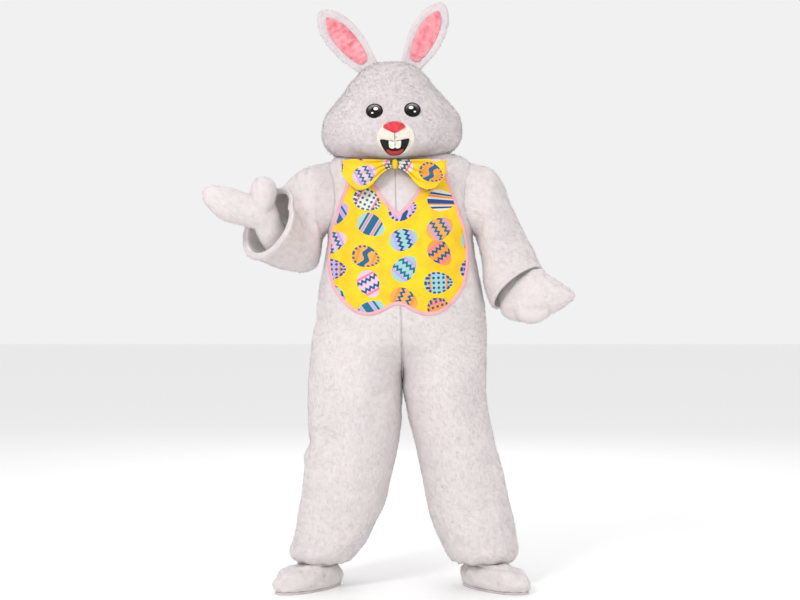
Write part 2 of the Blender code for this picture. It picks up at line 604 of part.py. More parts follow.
def make_slider():
    frame = zip_frame()
    plate = bmesh.new()
    add_box(plate, SLIDER_SIZE, (0, 0, SLIDER_SIZE[2] / 2))
    slider = new_piece("zip_slider", plate, "grey")
    slider.matrix_world = frame
    for side in (RIGHT, LEFT):
        cheek = bmesh.new()
        place = (side * (TAB_GAP + CHEEK_SIZE[0]) / 2, -SLIDER_SIZE[1] / 4,
                 SLIDER_SIZE[2] + CHEEK_SIZE[2] / 2 - CHEEK_SUNK)
        add_box(cheek, CHEEK_SIZE, place)
        lug = new_piece(f"cheek_cut_{side_name(side)}", cheek)
        lug.matrix_world = frame
        boolean(slider, lug, "UNION")


def make_pull_tab():
    """The tab hangs from a barrel between the slider's cheeks; its origin is on the barrel's axis."""
    barrel = bmesh.new()
    bmesh.ops.create_cone(barrel, cap_ends=True, segments=16, radius1=TAB_BARREL, radius2=TAB_BARREL,
                          depth=TAB_GAP - 2 * SEAM)
    bmesh.ops.rotate(barrel, matrix=Matrix.Rotation(math.pi / 2, 3, "Y"), verts=barrel.verts)
    tab = new_piece("pull_tab", barrel, "grey")
    frame = zip_frame()
    axis_at = (0, -SLIDER_SIZE[1] / 4, SLIDER_SIZE[2] + SEAM + TAB_BARREL)
    tab.matrix_world = frame @ Matrix.Translation(axis_at)
    lift = TAB_THICK / 2 - TAB_BARREL + SEAM / 3
    for name, wide, start, end in (("neck", TAB_NECK, 0.0, TAB_NECK_END + TAB_LAP),
                                   ("blade", TAB_WIDE, TAB_NECK_END, TAB_LENGTH)):
        plate = bmesh.new()
        add_box(plate, (wide, end - start, TAB_THICK), (0, (start + end) / 2, lift))
        blade = new_piece(f"tab_{name}_cut", plate)
        blade.matrix_world = tab.matrix_world
        boolean(tab, blade, "UNION")


def outline_volume(name, outline, near_y, far_y, finish=None):
    """A closed body that fills an outline of (x, height) between two depths."""
    grid = [[placed(x, y, height) for x, height in outline] for y in (near_y, far_y)]
    return volume(name, grid, finish)


def whole_outline(half, middle=0.0):
    """Both halves of a shape given from its top middle point down one side to its lowest middle point."""
    other = [(middle - out, height) for out, height in half[-2:0:-1]]
    return [(middle + out, height) for out, height in half] + other


def inset(outline, distance):
    """The outline moved inwards, corner by corner; the outline runs clockwise seen from the front."""
    result = []
    count = len(outline)
    for k in range(count):
        before, here, after = (Vector(outline[(k + step) % count]) for step in (-1, 0, 1))
        arriving, leaving = (here - before).normalized(), (after - here).normalized()
        corner = Vector((arriving.y + leaving.y, -arriving.x - leaving.x)).normalized()
        flat = Vector((arriving.y, -arriving.x))
        result.append(tuple(here + corner * distance / max(corner.dot(flat), 0.5)))
    return result


def vest_shell(name, low, high, finish):
    """The two front panels' own surface, moved out, as one sheet across the centre seam."""
    grids = []
    for proud in (high, low):
        right = panel_grid(RIGHT, FRONT, proud, trimmed=False)
        left = panel_grid(LEFT, FRONT, proud, trimmed=False)
        rows = [height for height, _ in panel_rows()]
        grids.append([a[:-1] + b for a, b, height in zip(right, left, rows)
                      if VEST_FIRST_ROW <= height <= VEST_LAST_ROW + NEAR])
    return wall(name, grids[0], grids[1], False, finish)


def make_vest():
    outline = whole_outline(VEST_HALF, VEST_MIDDLE)
    body = inset(outline, BINDING_WIDTH + SEAM)
    band = inset(outline, BINDING_WIDTH)
    vest = vest_shell("vest_front", LAID, LAID + VEST_CLOTH, "yellow")
    boolean(vest, outline_volume("vest_cut", body, VEST_NEAR, VEST_FAR), "INTERSECT")
    binding = vest_shell("vest_binding", LAID, LAID + BINDING_CLOTH, "pink")
    boolean(binding, outline_volume("binding_cut", outline, VEST_NEAR, VEST_FAR), "INTERSECT")
    hole = outline_volume("binding_hole_cut", band, VEST_NEAR - VEST_FAR, 2 * VEST_FAR)
    boolean(binding, hole, "DIFFERENCE")


def bow_outline(length):
    """A loop from above, as (out, y) about its own middle: the front face, the outer end, the back face."""
    start = KNOT_SIZE[0] - KNOT_TUCK
    half = (BOW_BACK - BOW_FRONT) / 2
    bend = length - half
    outs = [start + (bend - start) * step / BOW_STEPS for step in range(BOW_STEPS + 1)]
    turns = [math.pi * step / BOW_END_STEPS for step in range(1, BOW_END_STEPS)]
    return ([(out, -half) for out in outs]
            + [(bend + half * math.sin(turn), -half * math.cos(turn)) for turn in turns]
            + [(out, half) for out in reversed(outs)])


def bow_column(side, loop, index, shrink):
    """The points of one column of a loop's cloth, from its lower edge up, moved in by shrink."""
    middle_x, middle_height = BOW_AT
    out, y = loop[index]
    run = (Vector(loop[min(index + 1, len(loop) - 1)]) - Vector(loop[max(index - 1, 0)])).normalized()
    reach = min(out / BOW_LENGTH[side], 1.0) * BOW_WING.keys[-1]
    pinch = 1.0 - BOW_PINCH * max(0.0, 1.0 - (out - loop[0][0]) / BOW_PINCH_REACH)
    low = middle_height - BOW_WING.at("under", reach)
    high = middle_height + BOW_WING.at("over", reach)
    depth = (BOW_FRONT + BOW_BACK) / 2 + (y + run.x * shrink) * pinch
    return [placed(middle_x + side * (out - run.y * shrink), depth, low + (high - low) * level)
            for level in BOW_LEVELS]


def make_bow():
    for side in (RIGHT, LEFT):
        loop = bow_outline(BOW_LENGTH[side])
        grids = [list(zip(*[bow_column(side, loop, index, shrink) for index in range(len(loop))]))
                 for shrink in (0.0, BOW_CLOTH)]
        wall(f"bow_loop_{side_name(side)}", grids[0], grids[1], False, "yellow")
    middle_x, middle_height = BOW_AT
    front = BOW_FRONT - BOW_CLOTH
    back = suit_point(RIGHT, FRONT, 0.0, middle_height, 0.0).y + KNOT_SUNK
    knot = bmesh.new()
    bmesh.ops.create_uvsphere(knot, u_segments=12, v_segments=8, radius=1.0)
    bmesh.ops.scale(knot, vec=(KNOT_SIZE[0], (back - front) / 2, KNOT_SIZE[1]), verts=knot.verts)
    bmesh.ops.translate(knot, vec=placed(middle_x, (back + front) / 2, middle_height), verts=knot.verts)
    seat = vest_shell("knot_seat_cut", -2 * PLUSH, LAID, None)
    boolean(new_piece("bow_knot", knot, "yellow"), seat, "DIFFERENCE")


def head_frame():
    """From the head's upright frame to the part's."""
    pivot = Matrix.Translation((HEAD_PLACE[0], HEAD_PLACE[1], HEAD_PIVOT - SHOULDER_HEIGHT))
    yaw = Matrix.Rotation(math.radians(HEAD_YAW), 4, "Z")
    roll = Matrix.Rotation(math.radians(HEAD_ROLL), 4, "Y")
    return pivot @ yaw @ roll @ Matrix.Translation((0, 0, -HEAD_PIVOT))


def on_head(x, y, height):
    """A point of the head's tables in the part's frame."""
    return head_frame() @ Vector((x, y, height))


def head(face, turn, level):
    """The head's outer surface in its own frame: turn across it, level from its rim (0) to its top (1)."""
    sideways = math.sin(turn)
    rim = HEAD_RIM[face] + (HEAD_RIM_SIDE - HEAD_RIM[face]) * sideways ** 2
    height = rim + (HEAD_TOP - rim) * level
    y = face * HEAD.at("front" if face == FRONT else "back", height) * math.cos(turn)
    x = HEAD.at("wide", height) * sideways
    if face == FRONT:
        away = math.hypot(x - MUZZLE_AT[0], height - MUZZLE_AT[1])
        y -= MUZZLE_PUSH * math.exp(-(away / MUZZLE_REACH) ** 2)
    return Vector((x, y, height))


def head_normal(face, turn, level):
    across = head(face, turn + NEAR, level) - head(face, turn - NEAR, level)
    upwards = head(face, turn, level + NEAR) - head(face, turn, level - NEAR)
    normal = across.cross(upwards) * -face
    if level == 1.0:
        normal = Vector((normal.x, 0, abs(normal.z)))
    return normal.normalized()


def head_point(face, turn, level, proud):
    local = head(face, turn, level) + head_normal(face, turn, level) * proud
    return head_frame() @ local


def head_grid(face, proud, trimmed=True):
    """Points of the face or back, from the right side to the left, from rim to top; trimmed at their seam."""
    turns = [math.pi / 2 * (2 * k / HEAD_COLUMNS - 1) for k in range(HEAD_COLUMNS + 1)]
    apart = Vector((0, face * SEAM / 2 if trimmed else 0.0, 0))
    return [[head_point(face, turn, level, proud) + apart for turn in turns] for level in HEAD_ROWS]


def head_volume(name, proud):
    """The whole head as one closed body, moved out by proud: it shapes what is seated on it."""
    front = head_grid(FRONT, proud, trimmed=False)
    back = head_grid(BACK, proud, trimmed=False)
    return volume(name, [a + b[-2:0:-1] for a, b in zip(front, back)])


def make_head():
    for face, name in ((FRONT, "head_face"), (BACK, "head_back")):
        wall(name, head_grid(face, 0.0), head_grid(face, -HEAD_WALL), False, "plush")


def ear_place(side):
    """The ear's root inside the head, its axis with its length, and the direction across it."""
    base, tip = (Vector(point) for point in EARS[side])
    root = base - (tip - base).normalized() * EAR_SUNK
    axis = tip - root
    across = Vector((0, -1, 0)).cross(axis).normalized()
    return root, axis, across


def ear_point(side, along, across_share, proud):
    """A point of the ear: proud is measured to the front from its cupped middle surface."""
    root, axis, across = ear_place(side)
    wide = EAR_WIDTH.at("half", along) * across_share
    cup = EAR_CUP * (1 - across_share ** 2) * math.sin(math.pi * min(along * 1.2, 1.0))
    local = root + axis * along + across * wide + Vector((0, cup - proud, 0))
    return head_frame() @ local


def ear_thickness(across_share):
    return EAR_THICK * math.sqrt(max(1 - across_share ** 2, 0.04))


def make_ear(side, seat):
    front = [[ear_point(side, along, q, ear_thickness(q)) for q in EAR_ACROSS] for along in EAR_ROWS]
    back = [[ear_point(side, along, q, -ear_thickness(q)) for q in EAR_ACROSS[::-1]] for along in EAR_ROWS]
    ear = volume(f"ear_{side_name(side)}", [a + b for a, b in zip(front, back)], "plush")
    boolean(ear, seat, "DIFFERENCE")
    grids = []
    for proud in (LAID + LINING_THICK, LAID):
        grids.append([[ear_point(side, along, q, ear_thickness(q) + proud)
                       for q in EAR_ACROSS[LINING_COLUMNS]] for along in EAR_ROWS[LINING_ROWS]])
    wall(f"ear_lining_{side_name(side)}", grids[0], grids[1], False, "satin")


def round_outline(centre, size, points, corner=1.0):
    """An ellipse about a centre; below 1, corner narrows its lower half to a rounded triangle."""
    result = []
    for k in range(points):
        turn = 2 * math.pi * k / points
        narrow = corner if math.cos(turn) < 0 else 1.0
        lean = 1 - (1 - narrow) * max(-math.cos(turn), 0)
        result.append((centre[0] + size[0] * math.sin(turn) * lean, centre[1] + size[1] * math.cos(turn)))
    return result


def face_depth(x, height):
    """The face's y at a place on it, by stepping along the surface."""
    level = (height - HEAD_RIM[FRONT]) / (HEAD_TOP - HEAD_RIM[FRONT])
    turn = math.asin(x / HEAD.at("wide", height))
    return head(FRONT, turn, level).y


def make_boss(name, outline, centre, crown, seat, finish):
    """A domed piece standing out of the face by crown, and cut to the face behind."""
    surface = face_depth(*centre)
    middle = Vector(centre)
    grid = []
    for scale, depth in [(1.0, BOSS_SUNK)] + [(kept, -stood * crown) for kept, stood in BOSS_PROFILE]:
        ring = [middle.lerp(Vector(point), scale) for point in outline]
        grid.append([on_head(point.x, surface + depth, point.y) for point in ring])
    piece = volume(name, grid, finish)
    boolean(piece, seat, "DIFFERENCE")


def make_patch(name, outline, low, high, finish):
    """A thin piece that follows the face between two distances from it, inside an outline."""
    grid = [[on_head(x, y, height) for x, height in outline] for y in (PATCH_NEAR, PATCH_FAR)]
    piece = volume(name, grid, finish)
    boolean(piece, head_volume(f"{name}_outer_cut", high), "INTERSECT")
    boolean(piece, head_volume(f"{name}_inner_cut", low), "DIFFERENCE")


def make_face():
    seat = head_volume("head_seat_cut", LAID)
    patch_top = LAID + PATCH_THICK
    patch_seat = head_volume("muzzle_seat_cut", patch_top + LAID)
    for side in (RIGHT, LEFT):
        make_ear(side, seat)
        eye = round_outline(EYES[side], EYE_SIZE, BOSS_POINTS)
        make_boss(f"eye_{side_name(side)}", eye, EYES[side], EYE_CROWN, seat, "black")
    patch = round_outline(MUZZLE_PATCH_AT, MUZZLE_PATCH_SIZE, PATCH_POINTS)
    make_patch("muzzle", patch, LAID, patch_top, "cream")
    nose = round_outline(NOSE_AT, NOSE_SIZE, BOSS_POINTS, NOSE_NARROW)
    make_boss("nose", nose, NOSE_AT, NOSE_CROWN, patch_seat, "red")
    mouth_low = patch_top + LAID
    make_patch("mouth", whole_outline(MOUTH_HALF), mouth_low, mouth_low + MOUTH_THICK, "black")
    laid = mouth_low + MOUTH_THICK + LAID
    make_patch("teeth", whole_outline(TEETH_HALF), laid, laid + TEETH_THICK, "white")
    make_patch("lower_lip", whole_outline(LIP_HALF), laid, laid + LIP_THICK, "red")


def thumb_points(side, ring, shrink=0.0):
    """A thumb's ring, square to the thumb, from the table's centre and radius."""
    rings = THUMB_RINGS[side]
    (out, y, height), radius = ring
    nudge = MITT_NUDGE[side]
    first, last = Vector(rings[0][0]), Vector(rings[-1][0])
    along = Vector((side * (last - first).x, (last - first).y, (last - first).z)).normalized()
    across = along.cross(Vector((0, 1, 0))).normalized()
    upwards = along.cross(across)
    centre = placed(side * (out + nudge[0]), y + nudge[1], height + nudge[2])
    turns = [2 * math.pi * k / THUMB_COLUMNS for k in range(THUMB_COLUMNS)]
    return [centre + (across * math.cos(t) + upwards * math.sin(t)) * (radius - shrink) for t in turns]


def make_mitt(side):
    """A hollow mitten with a thumb, cut into the palm and the back of the hand."""
    name = side_name(side)
    grid = [ring_points(side, ring, MITT_COLUMNS, MITT_NUDGE[side]) for ring in MITT_RINGS[side]]
    inner = moved(grid, ring_normals(grid), -PLUSH)
    out_of_wrist = (sum(inner[0], Vector()) - sum(inner[1], Vector())) / MITT_COLUMNS
    inner[0] = [point + out_of_wrist for point in inner[0]]
    hand = volume(f"mitt_{name}_cut", grid)
    thumb = [thumb_points(side, ring) for ring in THUMB_RINGS[side]]
    hollow = [thumb_points(side, ring, PLUSH) for ring in THUMB_RINGS[side][:-1]]
    boolean(hand, volume(f"thumb_{name}_cut", thumb), "UNION")
    boolean(hand, volume(f"mitt_{name}_hollow_cut", inner[:-1]), "DIFFERENCE")
    boolean(hand, volume(f"thumb_{name}_hollow_cut", hollow), "DIFFERENCE")
    first, last = grid[1], grid[-2]
    centre = sum(first, Vector()) / MITT_COLUMNS
    along = (sum(last, Vector()) / MITT_COLUMNS - centre).normalized()
    upwards = (first[MITT_COLUMNS // 2] - first[0]).normalized()
    forward = along.cross(upwards).normalized()
    if forward.y > 0:
        forward = -forward
    for part, direction in (("palm", 1 if side == RIGHT else -1), ("back", -1 if side == RIGHT else 1)):
        half = bmesh.new()
        add_box(half, (1.0, 1.0, 1.0), (0, 0, 0.5))
        facing = forward * direction
        frame = facing.to_track_quat("Z", "Y").to_matrix().to_4x4()
        frame.translation = centre + facing * SEAM / 2
        half.transform(frame)
        piece = new_piece(f"mitt_{name}_{part}", half, "plush")
        boolean(piece, hand, "INTERSECT")


def foot_ring(side, ring):
    height, along, length, width = ring
    turn = math.radians(FOOT_TURN)
    forward = Vector((side * math.sin(turn), -math.cos(turn), 0))
    across = Vector((forward.y, -forward.x, 0))
    out, y = FOOT_PLACE[side]
    centre = placed(side * out, y, height) + forward * along
    points = []
    for k in range(FOOT_COLUMNS):
        t = 2 * math.pi * k / FOOT_COLUMNS
        wider = 1.0 + TOE_SPREAD * math.cos(t)
        points.append(centre + forward * length * math.cos(t) + across * width * math.sin(t) * wider)
    return points


def make_foot(side):
    name = side_name(side)
    ground = FOOT_RINGS[0][0]
    rings = [(ground + (ring[0] - ground) * FOOT_RISE[side], *ring[1:]) for ring in FOOT_RINGS]
    grid = [foot_ring(side, ring) for ring in rings]
    wall(f"foot_{name}_upper", grid, moved(grid, ring_normals(grid), -PLUSH), True, "plush")
    _, along, length, width = FOOT_RINGS[0]
    sole = [foot_ring(side, (height, along, length, width)) for height in (0.0, SOLE_THICK)]
    volume(f"foot_{name}_sole", sole, "plush")


for old in list(bpy.data.objects):
    bpy.data.objects.remove(old, do_unlink=True)
costume = new_collection("bunny_costume")
cutters = new_collection("cutters")
make_panels()
make_zip_chain()
make_slider()
make_pull_tab()
make_vest()
make_bow()
make_head()
make_face()
for wearer_side in (RIGHT, LEFT):
    make_sleeve(wearer_side)
    make_mitt(wearer_side)
    make_foot(wearer_side)
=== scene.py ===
"""Looks of the bunny mascot costume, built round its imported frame: plush suit and head, printed vest, bow.

Metres, +Z up, front towards -Y, +X on the costume's own left. Heights in the tables are above the floor.
"""
import math

import bmesh
import bpy
import numpy as np
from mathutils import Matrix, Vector
from mathutils.bvhtree import BVHTree


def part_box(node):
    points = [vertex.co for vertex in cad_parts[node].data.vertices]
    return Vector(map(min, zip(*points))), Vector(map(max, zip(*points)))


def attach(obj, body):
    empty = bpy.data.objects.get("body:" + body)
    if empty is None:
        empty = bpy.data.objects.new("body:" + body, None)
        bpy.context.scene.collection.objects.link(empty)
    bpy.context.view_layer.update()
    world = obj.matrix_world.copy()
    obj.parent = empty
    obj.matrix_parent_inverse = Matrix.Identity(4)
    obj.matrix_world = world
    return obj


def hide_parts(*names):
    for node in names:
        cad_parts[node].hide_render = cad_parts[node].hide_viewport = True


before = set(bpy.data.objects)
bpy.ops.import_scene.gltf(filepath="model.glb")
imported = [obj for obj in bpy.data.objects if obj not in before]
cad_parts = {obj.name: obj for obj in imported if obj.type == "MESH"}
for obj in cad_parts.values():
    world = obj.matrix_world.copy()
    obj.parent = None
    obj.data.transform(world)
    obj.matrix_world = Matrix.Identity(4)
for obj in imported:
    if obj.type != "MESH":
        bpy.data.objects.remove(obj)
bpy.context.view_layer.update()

SHOULDER_HEIGHT = 1.500
PLUSH = 0.006
HEAD_WALL = 0.010
SEAM = 0.0003
LAID = 0.0005
RIGHT, LEFT = -1, 1
FRONT, BACK = -1, 1
NAMES = {RIGHT: "right", LEFT: "left"}
WORDS = {FRONT: "front", BACK: "back"}
NEAR = 0.001         # a small step, for slopes


class Track:
    """A short table read smoothly: each column runs through its rows and never overshoots them."""

    def __init__(self, columns, rows):
        table = np.array(rows, float).T
        self.keys = table[0]
        self.columns = {name: (values, self.slopes(values))
                        for name, values in zip(columns.split()[1:], table[1:])}

    def slopes(self, values):
        rates = np.diff(values) / np.diff(self.keys)
        a, b = rates[:-1], rates[1:]
        inner = np.where(a * b <= 0, 0.0, 2 * a * b / np.where(a + b == 0, 1.0, a + b))
        return np.concatenate(([rates[0]], inner, [rates[-1]]))

    def at(self, name, key):
        values, slopes = self.columns[name]
        key = np.asarray(key, float)
        row = np.clip(np.searchsorted(self.keys, key, "right") - 1, 0, len(self.keys) - 2)
        step = self.keys[row + 1] - self.keys[row]
        share = (key - self.keys[row]) / step
        t = np.clip(share, 0, 1)
        curve = (values[row] + (values[row + 1] - values[row]) * t * t * (3 - 2 * t)
                 + step * slopes[row] * t * (1 - t) ** 2 - step * slopes[row + 1] * t * t * (1 - t))
        return (curve + slopes[row] * step * np.minimum(share, 0)
                + slopes[row + 1] * step * np.maximum(share - 1, 0))


# Jumpsuit: distance out to the side seam of each side, inseam, half depths, and the split into legs
SIDE = Track("height right left", [
    (0.092, 0.375, 0.405), (0.108, 0.394, 0.416), (0.135, 0.394, 0.422), (0.162, 0.385, 0.420),
    (0.234, 0.369, 0.409), (0.306, 0.359, 0.392), (0.378, 0.346, 0.376), (0.450, 0.338, 0.358),
    (0.522, 0.330, 0.342), (0.594, 0.328, 0.324), (0.666, 0.328, 0.311), (0.720, 0.327, 0.308),
    (0.800, 0.322, 0.311), (0.880, 0.315, 0.311), (0.950, 0.301, 0.308), (1.040, 0.292, 0.298),
    (1.100, 0.284, 0.287), (1.160, 0.273, 0.274), (1.220, 0.265, 0.265), (1.270, 0.260, 0.260),
    (1.350, 0.262, 0.262), (1.420, 0.265, 0.265), (1.470, 0.265, 0.265), (1.500, 0.262, 0.262),
    (1.520, 0.250, 0.250), (1.535, 0.232, 0.232), (1.545, 0.200, 0.200), (1.552, 0.165, 0.165),
    (1.556, 0.122, 0.122),
])
INSEAM = Track("height right left", [
    (0.092, 0.178, 0.186), (0.108, 0.163, 0.173), (0.135, 0.142, 0.159), (0.162, 0.121, 0.146),
    (0.234, 0.085, 0.114), (0.306, 0.052, 0.096), (0.378, 0.034, 0.083), (0.450, 0.018, 0.068),
    (0.522, 0.004, 0.054), (0.594, -0.004, 0.036), (0.666, -0.006, 0.020), (0.720, -0.008, 0.010),
    (0.950, -0.008, 0.010),
])
DEPTH = Track("height front back", [
    (0.092, 0.114, 0.100), (0.108, 0.130, 0.121), (0.135, 0.139, 0.135), (0.234, 0.135, 0.145),
    (0.378, 0.142, 0.150), (0.450, 0.146, 0.153), (0.594, 0.155, 0.165), (0.666, 0.165, 0.172),
    (0.720, 0.172, 0.178), (0.800, 0.190, 0.188), (0.880, 0.200, 0.190), (0.950, 0.205, 0.185),
    (1.040, 0.208, 0.178), (1.100, 0.207, 0.172), (1.160, 0.203, 0.166), (1.220, 0.197, 0.160),
    (1.270, 0.190, 0.157), (1.350, 0.178, 0.154), (1.420, 0.163, 0.150), (1.470, 0.149, 0.142),
    (1.500, 0.138, 0.132), (1.520, 0.130, 0.122), (1.535, 0.123, 0.114), (1.545, 0.116, 0.106),
    (1.552, 0.108, 0.098), (1.556, 0.098, 0.088),
])
SPLIT = Track("height split", [(0.720, 1.0), (0.800, 0.55), (0.880, 0.12), (0.950, 0.0)])
TRUNK_START, LEGS_END = 0.950, 0.720
CENTRE = Track("height x", [(0.720, 0.009), (0.950, 0.005), (1.200, -0.010), (1.450, -0.016),
                            (1.556, -0.018)])
ARMHOLE_HEIGHT, ARMHOLE_RADIUS, ARMHOLE_REACH = 1.395, 0.125, 31.0 / 90.0
ARMHOLE_STEPS = 28
HEM_HEIGHT = 0.092
ROW_STEP = 0.010
SHOULDER_ROWS = np.array([1.5275, 1.535, 1.540, 1.545, 1.549, 1.552, 1.554, 1.556])
AT_SIDE = 0.9999                                # a share of the panel that counts as its side seam
PANEL_COLUMNS, COLUMN_CROWD = 34, 0.12      # columns stand closer together at the seams
ZIP_LOW, ZIP_HIGH = 0.985, 1.540
ZIP_SLOT = 0.0035

